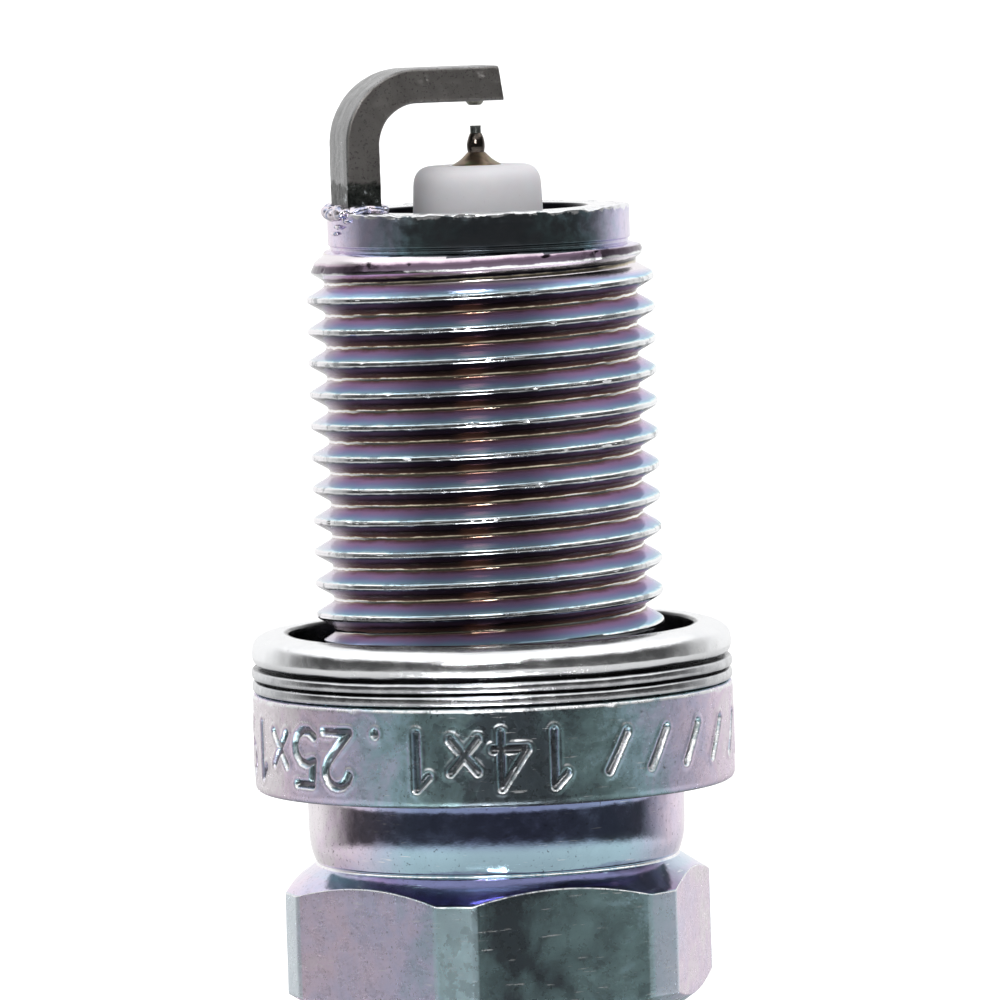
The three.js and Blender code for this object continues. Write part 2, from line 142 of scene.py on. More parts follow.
def smooth_min(a, b, blend):
    share = np.clip(0.5 + 0.5 * (b - a) / blend, 0, 1)
    return b + (a - b) * share - blend * share * (1 - share)


def smooth_max(a, b, blend):
    return -smooth_min(-a, -b, blend)


def rounded_rows(outline, columns, closed=True, steps=4):
    """Rows of (radius, z) per column from corners (radius, z, rounding).

    A radius or height may be an array with one value per column. Each corner with a rounding
    becomes a short curve that starts and ends at most that far from it.
    """
    corners = np.array([[np.broadcast_to(np.asarray(value, float), columns) for value in corner[:2]]
                        for corner in outline]).transpose(0, 2, 1)
    rows = []
    for i, corner in enumerate(outline):
        here = corners[i]
        ends = not closed and i in (0, len(outline) - 1)
        if ends or corner[2] == 0:
            rows.append(here)
            continue
        back = corners[i - 1] - here
        ahead = corners[(i + 1) % len(outline)] - here
        sides = []
        for side in (back, ahead):
            length = np.maximum(np.linalg.norm(side, axis=-1, keepdims=True), 1e-9)
            sides.append(here + side / length * np.minimum(corner[2], 0.48 * length))
        for share in np.linspace(0, 1, steps + 1):
            rows.append((1 - share) ** 2 * sides[0] + 2 * share * (1 - share) * here
                        + share ** 2 * sides[1])
    if closed:
        rows.append(rows[0])
    return np.array(rows)


def filled_rows(rows, step):
    """Adds rows where two neighbours are further apart than step."""
    filled = [rows[0]]
    for before, after in zip(rows[:-1], rows[1:]):
        gap = np.linalg.norm(after - before, axis=-1).max()
        count = max(1, math.ceil(gap / step))
        for i in range(1, count + 1):
            filled.append(before + (after - before) * i / count)
    return np.array(filled)


def section(outline, columns, step, **rounding):
    """Rounded rows from an outline, none further than step from the next."""
    return filled_rows(rounded_rows(outline, columns, **rounding), step)


def angles(columns):
    """Angles round the axis for a row of columns; the last is the first again."""
    return np.linspace(0, 2 * math.pi, columns)


def turned_points(rows):
    """Points in space from rows of (radius, z)."""
    turn = angles(rows.shape[1])
    return np.stack([rows[..., 0] * np.cos(turn), rows[..., 0] * np.sin(turn), rows[..., 1]], -1)


def placed(name, data):
    """A new object in the scene."""
    new = bpy.data.objects.new(name, data)
    bpy.context.scene.collection.objects.link(new)
    return new


def grid_piece(name, points, sharp=40):
    """A closed mesh object from a grid of points whose first and last columns meet.

    Points that lie on each other are merged, so a row may shrink to one point, and rows that
    meet close into a ring.
    """
    count, columns = points.shape[:2]
    corner = np.arange((count - 1) * columns).reshape(count - 1, columns)[:, :-1].ravel()
    faces = np.stack([corner, corner + 1, corner + columns + 1, corner + columns], -1)
    mesh = bpy.data.meshes.new(name)
    mesh.vertices.add(count * columns)
    mesh.vertices.foreach_set("co", points.astype(np.float32).ravel())
    mesh.loops.add(faces.size)
    mesh.loops.foreach_set("vertex_index", faces.ravel().astype(np.int32))
    mesh.polygons.add(len(faces))
    mesh.polygons.foreach_set("loop_start", np.arange(0, faces.size, 4, dtype=np.int32))
    mesh.update(calc_edges=True)
    return mesh_piece(name, mesh, sharp)


def mesh_piece(name, mesh, sharp=40):
    """An object from a mesh in millimetres: welded, turned outward, smooth and in metres."""
    work = bmesh.new()
    work.from_mesh(mesh)
    bmesh.ops.remove_doubles(work, verts=work.verts, dist=2e-4)
    bmesh.ops.dissolve_degenerate(work, edges=work.edges, dist=1e-5)
    if work.calc_volume(signed=True) < 0:
        bmesh.ops.reverse_faces(work, faces=work.faces)
    work.to_mesh(mesh)
    work.free()
    mesh.transform(Matrix.Scale(MM, 4))
    mesh.shade_smooth()
    mesh.set_sharp_from_angle(angle=math.radians(sharp))
    return placed(name, mesh)


def lathed(name, outline, columns, step, sharp=40, uneven=None, **rounding):
    """A turned piece. uneven is its depth as a share of the radius, its size and its seed."""
    points = turned_points(section(outline, columns, step, **rounding))
    if uneven:
        share, size, seed = uneven
        points[..., :2] *= (1 + share * value_noise(points, size, seed))[..., None]
    return grid_piece(name, points, sharp)


def dress(piece, body, material, slot, *nodes):
    """Gives a piece its material, the body it rides on and the CAD nodes it stands for."""
    piece.data.materials.clear()
    piece.data.materials.append(material)
    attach(piece, body)
    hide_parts(*nodes)
    return piece


# ---- material helpers -----------------------------------------------------------------------


def rgba(color):
    """A colour, or a grey given as one number, with its alpha."""
    return (*color, 1) if isinstance(color, tuple) else (color, color, color, 1)


class Nodes:
    """A short way to write a node tree."""

    def __init__(self, tree):
        self.tree = tree

    def add(self, kind, **settings):
        node = self.tree.nodes.new(kind)
        for key, value in settings.items():
            setattr(node, key, value)
        return node

    def link(self, source, target):
        self.tree.links.new(source, target)

    def feed(self, target, value):
        """Links a socket or sets a plain value."""
        if isinstance(value, bpy.types.NodeSocket):
            self.link(value, target)
        else:
            target.default_value = value

    def feed_color(self, target, color):
        self.feed(target, color if isinstance(color, bpy.types.NodeSocket) else rgba(color))

    def math(self, operation, a, b=0.0, clamp=False):
        node = self.add("ShaderNodeMath", operation=operation, use_clamp=clamp)
        self.feed(node.inputs[0], a)
        self.feed(node.inputs[1], b)
        return node.outputs[0]

    def times(self, product, *factors):
        for factor in factors:
            product = self.math("MULTIPLY", product, factor)
        return product

    def most(self, largest, *others):
        for other in others:
            largest = self.math("MAXIMUM", largest, other)
        return largest

    def away(self, value, middle):
        """How far a value is from a middle one."""
        return self.math("ABSOLUTE", self.math("SUBTRACT", value, middle))

    def axes(self, vector):
        node = self.add("ShaderNodeSeparateXYZ")
        self.link(vector, node.inputs[0])
        return node.outputs

    def between(self, value, low, high, to_low=0.0, to_high=1.0):
        """Maps low..high to to_low..to_high, and holds the ends."""
        node = self.add("ShaderNodeMapRange", interpolation_type="SMOOTHSTEP")
        self.feed(node.inputs["Value"], value)
        for key, number in (("From Min", low), ("From Max", high),
                            ("To Min", to_low), ("To Max", to_high)):
            node.inputs[key].default_value = number
        return node.outputs[0]

    def below(self, value, low, high, full=1.0):
        """Falls from full to 0 between low and high."""
        return self.between(value, low, high, full, 0.0)

    def ramp(self, value, stops):
        node = self.add("ShaderNodeValToRGB")
        self.feed(node.inputs[0], value)
        elements = node.color_ramp.elements
        while len(elements) < len(stops):
            elements.new(0.5)
        for element, (at, color) in zip(elements, stops):
            element.position = at
            element.color = rgba(color)
        return node.outputs[0]

    def mix(self, share, a, b):
        """Blends colour a to colour b."""
        node = self.add("ShaderNodeMix", data_type="RGBA")
        self.feed(node.inputs["Factor"], share)
        self.feed_color(node.inputs[6], a)
        self.feed_color(node.inputs[7], b)
        return node.outputs[2]


class Surface(Nodes):
    """One material's node tree. Its places and sizes are in millimetres."""

    def __init__(self, name):
        self.material = bpy.data.materials.new(name)
        self.material.use_nodes = True
        super().__init__(self.material.node_tree)
        self.shader = self.tree.nodes["Principled BSDF"]
        place = self.add("ShaderNodeTexCoord")
        self.place = self.scaled(place.outputs["Object"], 1 / MM)
        self.normal = place.outputs["Normal"]

    def scaled(self, vector, factor):
        node = self.add("ShaderNodeVectorMath", operation="SCALE")
        self.link(vector, node.inputs[0])
        self.feed(node.inputs["Scale"], factor)
        return node.outputs[0]

    def stretched(self, x, y, z):
        node = self.add("ShaderNodeMapping")
        self.link(self.place, node.inputs["Vector"])
        node.inputs["Scale"].default_value = (x, y, z)
        return node.outputs[0]

    def noise(self, scale, detail=2.0, rough=0.5, vector=None, distortion=0.0):
        """Noise from 0 to 1; scale is in waves per millimetre."""
        node = self.add("ShaderNodeTexNoise")
        self.link(vector or self.place, node.inputs["Vector"])
        node.inputs["Scale"].default_value = scale
        node.inputs["Detail"].default_value = detail
        node.inputs["Roughness"].default_value = rough
        node.inputs["Distortion"].default_value = distortion
        return node.outputs[0]

    def lit(self, color, factor):
        """Multiplies a colour by a factor, and holds it under white."""
        held = self.add("ShaderNodeVectorMath", operation="MINIMUM")
        self.link(self.scaled(color, factor), held.inputs[0])
        held.inputs[1].default_value = WHITE
        return held.outputs[0]

    def bump(self, height, distance, strength=1.0):
        """Adds a bump of height times distance."""
        node = self.add("ShaderNodeBump")
        node.inputs["Strength"].default_value = strength
        node.inputs["Distance"].default_value = distance * MM
        self.link(height, node.inputs["Height"])
        if self.shader.inputs["Normal"].is_linked:
            self.link(self.shader.inputs["Normal"].links[0].from_socket, node.inputs["Normal"])
        self.link(node.outputs[0], self.shader.inputs["Normal"])

    def finish(self, color, roughness, metallic=0.0, **settings):
        self.feed_color(self.shader.inputs["Base Color"], color)
        self.feed(self.shader.inputs["Roughness"], roughness)
        self.feed(self.shader.inputs["Metallic"], metallic)
        for key, value in settings.items():
            self.shader.inputs[key.replace("_", " ")].default_value = value
        return self.material


SLATE = (0.055, 0.07, 0.08)
TEAL = (0.19, 0.29, 0.30)
BLUE = (0.38, 0.56, 0.64)
LAVENDER = (0.66, 0.64, 0.84)
PINK = (0.84, 0.70, 0.84)
PALE = (0.86, 0.80, 0.84)
WHITE = (0.93, 0.94, 0.95)
BLACK = (0.02, 0.02, 0.025)
SHADOW = (0.05, 0.05, 0.055)
CREAM = (0.60, 0.52, 0.38)
# The film's colours carry painted shade and reflection: darkest a little right of the front, palest at the
# sides.
FILM_FRONT = 0.08  # sine of the turn, right of the front, where the film is darkest

# Colours up one pitch of the thread, from the middle of a crest to the middle of the next. White painted
# highlights line the crests and near black painted shade covers the downward flanks; the upward flanks
# carry the film's mauve and blue, with a cream line at the root.
THREAD_BANDS = [
    (0.0, (0.30, 0.32, 0.34)), (0.022, WHITE), (0.07, (0.50, 0.66, 0.75)),
    (0.13, (0.17, 0.28, 0.37)), (0.23, (0.21, 0.21, 0.38)), (0.34, (0.33, 0.20, 0.37)),
    (0.42, (0.16, 0.08, 0.10)), (0.455, (0.10, 0.06, 0.05)), (0.48, (0.80, 0.72, 0.55)),
    (0.52, (0.80, 0.72, 0.55)), (0.55, (0.09, 0.05, 0.035)), (0.64, (0.06, 0.04, 0.035)),
    (0.71, (0.008, 0.008, 0.016)), (0.90, (0.008, 0.008, 0.014)), (0.94, (0.40, 0.42, 0.44)),
    (0.96, WHITE), (0.978, WHITE), (1.0, (0.30, 0.32, 0.34)),
]

# The same on the cone that starts the thread, where the crests are cut away: a pale painted highlight on
# the cone, a white painted highlight on the crest and black painted shade below it.
LEAD_BANDS = [
    (0.0, (0.10, 0.07, 0.10)), (0.07, (0.16, 0.11, 0.16)), (0.12, (0.66, 0.52, 0.62)), (0.2, PALE),
    (0.43, PALE), (0.48, CREAM), (0.56, BLACK), (0.66, BLACK), (0.70, WHITE), (0.83, WHITE),
    (0.88, (0.14, 0.11, 0.15)), (1.0, (0.10, 0.07, 0.10)),
]


def axis_radius(n, x, y):
    return n.math("SQRT", n.math("ADD", n.times(x, x), n.times(y, y)))


def side_share(n, x, radius):
    """How far round from the darkest place of the film's painted shade a point is: 0 there, about 1 at
    either side.
    """
    return n.away(n.math("DIVIDE", x, n.math("MAXIMUM", radius, 0.5)), FILM_FRONT)


def film_and_painted_shade(n, side, spread=0.1):
    """Interference colours that run from slate in front to pink at the sides: the dark front is painted
    shade and the pale sides are painted reflection.
    """
    patches = n.between(n.noise(0.45, 5, 0.68, distortion=0.6), 0.3, 0.7, -spread, spread)
    film = n.math("ADD", side, patches, clamp=True)
    color = n.ramp(film, [(0.14, SLATE), (0.36, TEAL), (0.48, BLUE), (0.66, LAVENDER),
                          (0.88, PINK), (1.0, PALE)])
    stains = n.between(n.noise(2.6, 5, 0.8), 0.5, 0.75, 0.0, 0.3)
    return n.mix(stains, color, (0.07, 0.075, 0.07))


def body_plating():
    """Zinc plate with an interference film: grainy on the flats, bright on the turned neck. Painted shade
    and reflection darken what faces the front and pale what turns aside, with painted highlights on upward
    edges and painted shade in the stamped figures.
    """
    n = Surface("body_plating")
    x, y, z = n.axes(n.place)
    radius = axis_radius(n, x, y)
    facing = n.axes(n.normal)
    # Painted shade and reflection: round faces darken towards the front, and flats darken by how squarely
    # they face it, turning paler aside.
    round_share = side_share(n, x, radius)
    flat_share = n.away(facing[0], FILM_FRONT)
    side = n.math("ADD", n.times(round_share, 0.35), n.times(flat_share, 0.65))
    color = film_and_painted_shade(n, side)
    hex_top = HEX["high"]
    # Painted reflection over the film: the front of the neck is light blue low down, where it mirrors the
    # bright floor, and darker blue above.
    neck = n.times(n.below(radius, NECK_RADIUS + 0.1, NECK_RADIUS + 0.3),
                   n.between(z, hex_top - 0.9, hex_top - 0.5))
    upper = n.between(z, hex_top + 0.9, hex_top + 1.6)
    blue = n.mix(upper, (0.50, 0.72, 0.84), (0.28, 0.33, 0.58))
    color = n.mix(n.times(neck, n.below(side, 0.5, 0.9, 0.8)), color, blue)
    # Painted reflection: the chamfer cone is dark purple in front, where it mirrors the neck.
    cone = n.times(n.between(facing[2], 0.7, 0.8), n.between(z, hex_top + 1.4, hex_top + 0.4))
    color = n.mix(n.times(cone, n.below(round_share, 0.7, 0.95)), color, (0.30, 0.23, 0.38))
    corner = HEX["corner"]
    strips = n.times(n.between(radius, corner - 0.09, corner - 0.05),
                     n.below(radius, corner + 0.1, corner + 0.15, 0.55))
    color = n.mix(strips, color, (0.56, 0.74, 0.80))
    # Painted highlight: edges that tilt up towards the overhead light are painted white, broken up by
    # noise; the scratches are real marks.
    edge = n.times(n.between(facing[2], 0.08, 0.25), n.below(facing[2], 0.6, 0.8))
    painted_edge_highlight = n.times(edge, n.between(n.noise(1.8, 4, 0.7), 0.35, 0.55, 0.2, 1.0))
    scratches = n.between(n.noise(1.6, 3, 0.6, n.stretched(0.5, 0.5, 7)), 0.67, 0.7, 0.0, 0.6)
    color = n.mix(n.most(scratches, painted_edge_highlight), color, WHITE)
    specks = n.between(n.noise(7.0, 3, 0.7), 0.62, 0.7)
    color = n.mix(n.times(specks, 0.7), color, (0.06, 0.06, 0.065))
    # Painted shade: the bottoms of the stamped figures and slashes are dark.
    wall = FLANGE["radius"]
    sunk = n.times(n.between(radius, wall - 0.35, wall - 0.25), n.below(radius, wall - 0.12, wall - 0.05))
    stamped = n.times(sunk, n.between(z, -0.3, -0.6))
    color = n.mix(n.times(stamped, 0.7), color, SHADOW)
    turned = n.most(neck, cone)
    haze = n.between(n.noise(1.6, 4, 0.65), 0.3, 0.75, 0.24, 0.36)
    rough = n.math("SUBTRACT", haze, n.times(turned, 0.2))
    n.bump(n.times(n.noise(8.0, 4, 0.75), n.between(turned, 0.0, 1.0, 1.0, 0.15)), 0.022, 0.7)
    return n.finish(color, rough, n.between(turned, 0.0, 1.0, 0.7, 1.0), Specular_IOR_Level=0.2)


def thread_phase(n, x, y, z):
    """How far a place is up the pitch, from the middle of a crest (0) to the next (1)."""
    turn = n.math("DIVIDE", n.math("ARCTAN2", y, x), 2 * math.pi)
    climb = n.math("DIVIDE", n.math("SUBTRACT", z, THREAD["first"]), THREAD["pitch"])
    drift = n.between(n.noise(1.1, 3, 0.6), 0.3, 0.7, -0.02, 0.02)
    return n.math("FRACT", n.math("ADD", n.math("SUBTRACT", climb, turn), drift))


def pilot_color(n, side):
    """The film on the plain pilot, with mottled painted shade in front, where it mirrors the dark front."""
    mottle = n.between(n.noise(1.4, 5, 0.75), 0.35, 0.6, 0.35, 0.95)
    dark = n.times(n.below(side, 0.5, 0.85), mottle)
    return n.mix(dark, film_and_painted_shade(n, n.times(side, 0.8)), (0.09, 0.10, 0.11))


def thread_plating():
    """The same film on the shank: mauve at the roots, blue below the crests, which are scuffed. Painted
    light on it: white highlights on the crests, shade on the downward flanks and in the bore, a glint in
    front, paler sides and a white line along the rim.
    """
    n = Surface("thread_plating")
    x, y, z = n.axes(n.place)
    radius = axis_radius(n, x, y)
    side = side_share(n, x, radius)
    across = n.math("DIVIDE", x, radius)
    phase = thread_phase(n, x, y, z)
    color = n.ramp(phase, THREAD_BANDS)
    # Painted glint: an orange-brown tint at the roots in a narrow column in front, where the bright patches
    # glint.
    painted_glint = n.times(n.below(n.away(across, -0.08), 0.03, 0.13), n.below(n.away(phase, 0.58), 0.14, 0.2, 0.4))
    color = n.mix(n.times(n.math("LESS_THAN", y, 0.0), painted_glint), color, (0.34, 0.16, 0.10))
    # Painted light: the thread is darker in front and up to twice as bright towards the sides, and painted
    # pale at the very sides as a sheen.
    color = n.lit(color, n.between(n.away(across, -0.05), 0.25, 0.7, 0.75, 2.0))
    color = n.mix(n.between(side, 0.92, 1.06, 0.0, 0.6), color, PALE)
    crest = n.between(radius, THREAD["crest"] - 0.12, THREAD["crest"] - 0.05)
    scuff = n.times(crest, n.between(n.noise(1.1, 4, 0.7), 0.52, 0.62))
    color = n.mix(n.times(scuff, 0.7), color, (0.34, 0.36, 0.38))
    lead = n.between(z, SHANK["lead"] + 0.1, SHANK["lead"] + 0.4)
    color = n.mix(lead, color, n.ramp(phase, LEAD_BANDS))
    end = SHANK["high"]
    color = n.mix(n.between(z, end - 0.14, end - 0.08), color, pilot_color(n, side))
    # Painted highlight: a white line along the top of the rim, ragged like its burr.
    burr = n.math("ADD", z, n.between(n.noise(2.5, 4, 0.7), 0.3, 0.7, -0.12, 0.08))
    color = n.mix(n.between(burr, RIM - 0.16, RIM - 0.1, 0.0, 0.9), color, WHITE)
    # Painted shade: black inside the bore round the nose.
    color = n.mix(n.below(radius, NOSE_BORE + 0.03, NOSE_BORE + 0.12), color, BLACK)
    haze = n.between(n.noise(1.6, 4, 0.65), 0.3, 0.75, 0.07, 0.17)
    rough = n.math("ADD", haze, n.times(scuff, 0.2))
    root = n.below(n.away(phase, 0.5), 0.03, 0.06)
    bare = n.times(n.most(crest, root, lead), n.between(z, end - 0.05, end, 1.0, 0.62))
    n.bump(n.noise(9.0, 4, 0.7), 0.008, 0.4)
    n.bump(n.noise(1.0, 3, 0.6, n.stretched(1, 1, 9)), 0.01, 0.2)
    return n.finish(color, rough, n.between(bare, 0.0, 1.0, 0.4, 1.0), Specular_IOR_Level=0.1)


def gasket_material():
    """Bright plated sheet: pitted, greyer on the lower folds, with painted shade in the grooves and inside
    the opening.
    """
    n = Surface("gasket_plate")
    x, y, z = n.axes(n.place)
    cloud = n.noise(1.1, 4, 0.6)
    color = n.ramp(cloud, [(0.3, (0.88, 0.89, 0.91)), (0.7, (0.96, 0.97, 0.98))])
    pits = n.between(n.noise(8.0, 3, 0.8), 0.67, 0.72)
    color = n.mix(pits, color, (0.20, 0.20, 0.22))
    opening = GASKET["opening"]
    # Painted shade on the inside wall of the opening.
    color = n.mix(n.below(axis_radius(n, x, y), opening + 0.05, opening + 0.23), color, SHADOW)
    lower, upper = GASKET["grooves"]
    grey = n.ramp(cloud, [(0.4, (0.30, 0.31, 0.33)), (0.6, (0.55, 0.56, 0.58))])
    color = n.mix(n.below(z, upper - 0.03, upper + 0.07, 0.6), color, grey)
    # Painted shade: near black in the grooves between the folds.
    grooves = n.most(n.below(n.away(z, upper), 0.04, 0.09), n.below(n.away(z, lower), 0.03, 0.07))
    color = n.mix(n.times(grooves, 0.85), color, (0.03, 0.03, 0.035))
    rough = n.between(cloud, 0.35, 0.7, 0.16, 0.28)
    n.bump(n.noise(7.0, 5, 0.8), 0.012, 0.5)
    n.bump(n.noise(0.9, 3, 0.6, n.stretched(1, 1, 5)), 0.02, 0.3)
    return n.finish(color, rough, 1.0)


def bar_material():
    """Drawn nickel alloy, duller on the sawn flanks, with black scale and plating on the foot."""
    n = Surface("ground_electrode_alloy")
    grain = n.noise(8.0, 5, 0.75)
    turn = math.radians(BAR["turn"])
    sideways = n.add("ShaderNodeVectorMath", operation="DOT_PRODUCT")
    n.link(n.normal, sideways.inputs[0])
    sideways.inputs[1].default_value = (-math.sin(turn), math.cos(turn), 0)
    flank = n.between(n.math("ABSOLUTE", sideways.outputs["Value"]), 0.6, 0.95)
    drawn = n.ramp(n.noise(2.0, 3, 0.6, n.stretched(1, 1, 0.15)),
                   [(0.35, (0.20, 0.20, 0.20)), (0.65, (0.34, 0.34, 0.345))])
    sawn = n.ramp(n.noise(1.3, 3, 0.6), [(0.3, (0.14, 0.133, 0.127)), (0.7, (0.185, 0.175, 0.167))])
    color = n.mix(flank, drawn, sawn)
    edge = n.math("ADD", n.axes(n.place)[2], n.times(n.noise(2.2, 3), 0.7))
    scale = n.ramp(n.noise(3.0, 4, 0.7), [(0.4, (0.015, 0.017, 0.016)), (0.6, (0.05, 0.055, 0.05)),
                                          (0.7, (0.45, 0.48, 0.50))])
    color = n.mix(n.below(edge, RIM + 1.4, RIM + 1.6), color, scale)
    rough = n.between(grain, 0.3, 0.7, 0.24, 0.4)
    n.bump(grain, 0.008, 0.4)
    n.bump(n.noise(2.2, 3, 0.6), 0.015, 0.3)
    return n.finish(color, rough, 0.65, Specular_IOR_Level=0.2)


def flash_material():
    """Upset weld metal: bright folds with blue, pink and dark oxide."""
    n = Surface("weld_flash")
    color = n.ramp(n.noise(1.9, 3, 0.6, distortion=0.6),
                   [(0.3, (0.10, 0.10, 0.14)), (0.42, (0.36, 0.40, 0.58)), (0.55, PALE),
                    (0.7, PINK)])
    n.bump(n.noise(6.0, 3, 0.6), 0.03, 0.5)
    return n.finish(color, 0.24, 1.0)


def electrode_material():
    """Nickel cone stained bronze and green by heat."""
    n = Surface("heat_stained_nickel")
    color = n.ramp(n.noise(1.6, 3, 0.6, distortion=0.5),
                   [(0.3, (0.11, 0.09, 0.06)), (0.5, (0.24, 0.17, 0.12)), (0.66, (0.22, 0.23, 0.12))])
    n.bump(n.noise(12.0, 3), 0.008, 0.5)
    return n.finish(color, 0.34, 1.0)


def tip_weld_material():
    n = Surface("tip_weld_bead")
    color = n.ramp(n.noise(4.0, 3), [(0.3, (0.05, 0.045, 0.04)), (0.7, (0.17, 0.14, 0.12))])
    n.bump(n.noise(2.0, 2, 0.5, n.stretched(1, 1, 6)), 0.02, 0.4)
    return n.finish(color, 0.2, 1.0)


def noble_material(name, color, dark):
    n = Surface(name)
    shade = n.ramp(n.noise(7.0, 3, 0.7), [(0.3, dark), (0.7, color)])
    n.bump(n.noise(16.0, 3), 0.006, 0.5)
    return n.finish(shade, 0.38, 1.0)


def alumina_material():
    """Alumina: matt at the nose, glazed outside the shell, with tiny dark specks."""
    n = Surface("alumina")
    z = n.axes(n.place)[2]
    tone = n.ramp(n.noise(0.5, 3), [(0.3, (0.61, 0.605, 0.635)), (0.7, (0.67, 0.665, 0.69))])
    specks = n.between(n.noise(9.0, 3, 0.7), 0.66, 0.76)
    color = n.mix(n.times(specks, 0.4), tone, (0.30, 0.27, 0.33))
    rough = n.between(z, CRIMP["low"] - 1, CRIMP["low"], 0.08, 0.62)
    n.bump(n.noise(20.0, 3, 0.6), 0.006, 0.35)
    return n.finish(color, rough, 0.0, Subsurface_Weight=0.12, Subsurface_Scale=0.0008)


def steel_material(name, light, dark, roughness, brush=12):
    """Turned steel: fine rings round the axis and cloudy tone."""
    n = Surface(name)
    rings = n.noise(1.2, 3, 0.6, n.stretched(0.15, 0.15, brush))
    cloud = n.noise(0.9, 3, 0.6)
    color = n.ramp(cloud, [(0.3, dark), (0.7, light)])
    rough = n.between(rings, 0.3, 0.7, roughness * 0.8, roughness * 1.3)
    n.bump(rings, 0.01, 0.4)
    n.bump(n.noise(10.0, 3, 0.7), 0.006, 0.4)
    return n.finish(color, rough, 1.0)


def powder_material(name, light, dark, metallic=0.0, roughness=0.85):
    n = Surface(name)
    color = n.ramp(n.noise(5.0, 4, 0.7), [(0.3, dark), (0.7, light)])
    n.bump(n.noise(9.0, 4, 0.7), 0.03, 0.6)
    return n.finish(color, roughness, metallic)


# ---- threads --------------------------------------------------------------------------------


def thread_radius(z, turn, spec):
    """Radius of a right-hand thread, and the distance along the axis to its nearest crest."""
    pitch = spec["pitch"]
    offset = z - spec["first"] - pitch * turn / (2 * math.pi)
    away = (offset + pitch / 2) % pitch - pitch / 2
    depth = spec["crest"] - spec["root"]
    apex = spec["crest"] + 0.2 * depth
    flank = apex - np.abs(away) * math.sqrt(3)
    seam = spec["seam"] * np.exp(-(away / (0.032 * pitch)) ** 2)
    radius = smooth_min(flank, spec["crest"] - seam, 0.2 * depth)
    return smooth_max(radius, spec["root"], 0.16 * depth), away


def thread_heights(low, high, spec, columns):
    """Rows of heights that climb a pitch in a turn and are held between low and high."""
    pitch = spec["pitch"]
    half = np.array([0, 0.03, 0.055, 0.085, 0.12, 0.2, 0.32, 0.37, 0.41, 0.45])
    profile = np.concatenate([-half[:0:-1], half]) * pitch
    first = math.floor((low - spec["first"]) / pitch) - 2
    turns = math.ceil((high - low) / pitch) + 4
    starts = spec["first"] + (first + np.arange(turns)) * pitch
    heights = (starts[:, None] + profile[None, :]).ravel()
    rise = pitch * angles(columns) / (2 * math.pi)
    return np.clip(heights[:, None] + rise[None, :], low, high)


# ---- shell ----------------------------------------------------------------------------------


def shank():
    """Rim, pilot, thread and relief, with the bore that the insulator nose stands in."""
    columns = 385
    low, high, core = SHANK["low"], SHANK["high"], THREAD["core"]
    heights = thread_heights(low, high, THREAD, columns)
    radius, away = thread_radius(heights, angles(columns)[None, :], THREAD)
    envelope = np.interp(heights, [low, SHANK["full"], SHANK["lead"], SHANK["end"], high],
                         [core, THREAD["crest"], THREAD["crest"], SHANK["end_radius"], core])
    radius = smooth_min(radius, envelope, 0.05)
    place = turned_points(np.stack([np.full_like(heights, 7.0), heights], -1))
    crest = np.exp(-(away / 0.16) ** 2)
    wear = 0.008 * value_noise(place, 0.5, 1) + 0.006 * value_noise(place, 0.17, 2)
    nicks = 0.07 * smooth_step(value_noise(place, 0.42, 3), 0.62, 0.85)
    thread = np.stack([np.maximum(radius + crest * (wear - nicks), core), heights], -1)
    groove, throat = core - 0.08, LEDGE["radius"]
    upper = section([
        (core, high, 0), (groove, high + 0.04, 0.03), (groove, high + 0.16, 0.03),
        (core, high + 0.2, 0.03), (core, RIM, 0.1), (NOSE_BORE, RIM, 0.12),
        (NOSE_BORE, LEDGE["high"] + 0.6, 0.2), (throat, LEDGE["high"], 0.1), (throat, LEDGE["low"], 0.1),
        (BODY_BORE, LEDGE["low"] - 0.8, 0.1), (BODY_BORE, 0, 0),
    ], columns, 0.28, closed=False)
    lower = section([
        (BODY_BORE, 0, 0), (core, 0, 0), (core, low, 0),
    ], columns, 0.28, closed=False)
    rows = np.concatenate([lower, thread, upper])
    points = turned_points(rows)
    rim = smooth_step(rows[..., 1], RIM - 0.25, RIM) * smooth_step(rows[..., 0], core - 0.8, core - 0.1)
    burr = 0.07 * value_noise(points, 0.7, 4) + 0.06 * value_noise(points, 0.25, 5)
    points[..., 2] += rim * burr
    spread = 1 + rim * (0.02 + 0.05 * value_noise(points, 0.35, 6)) / core
    points[..., :2] *= spread[..., None]
    return grid_piece("shell_shank", points, 38)


def arc_points(x, y, size, start, end, count=9):
    """Points on an arc in the plane, from start to end in degrees."""
    turns = np.radians(np.linspace(start, end, count))
    return [(x + size * math.cos(t), y + size * math.sin(t)) for t in turns]


# Single strokes on a grid one high and 0.62 wide.
GLYPHS = {
    "1": [[(0.12, 0.78), (0.34, 1.0), (0.34, 0.0)]],
    "2": [arc_points(0.31, 0.72, 0.28, 165, -35) + [(0.02, 0.0), (0.62, 0.0)]],
    "4": [[(0.47, 0.0), (0.47, 1.0), (0.0, 0.3), (0.62, 0.3)]],
    "5": [[(0.56, 1.0), (0.12, 1.0), (0.06, 0.56)] + arc_points(0.28, 0.31, 0.31, 125, -140)],
    "9": [arc_points(0.31, 0.69, 0.29, 0, 360, 17), [(0.6, 0.69), (0.52, 0.3), (0.3, 0.0)]],
    "x": [[(0.05, 0.1), (0.55, 0.7)], [(0.05, 0.7), (0.55, 0.1)]],
    ".": [[(0.3, 0.0), (0.3, 0.03)]],
}
STAMP_TEXT = "14x1.25x19"  # thread diameter, pitch and reach


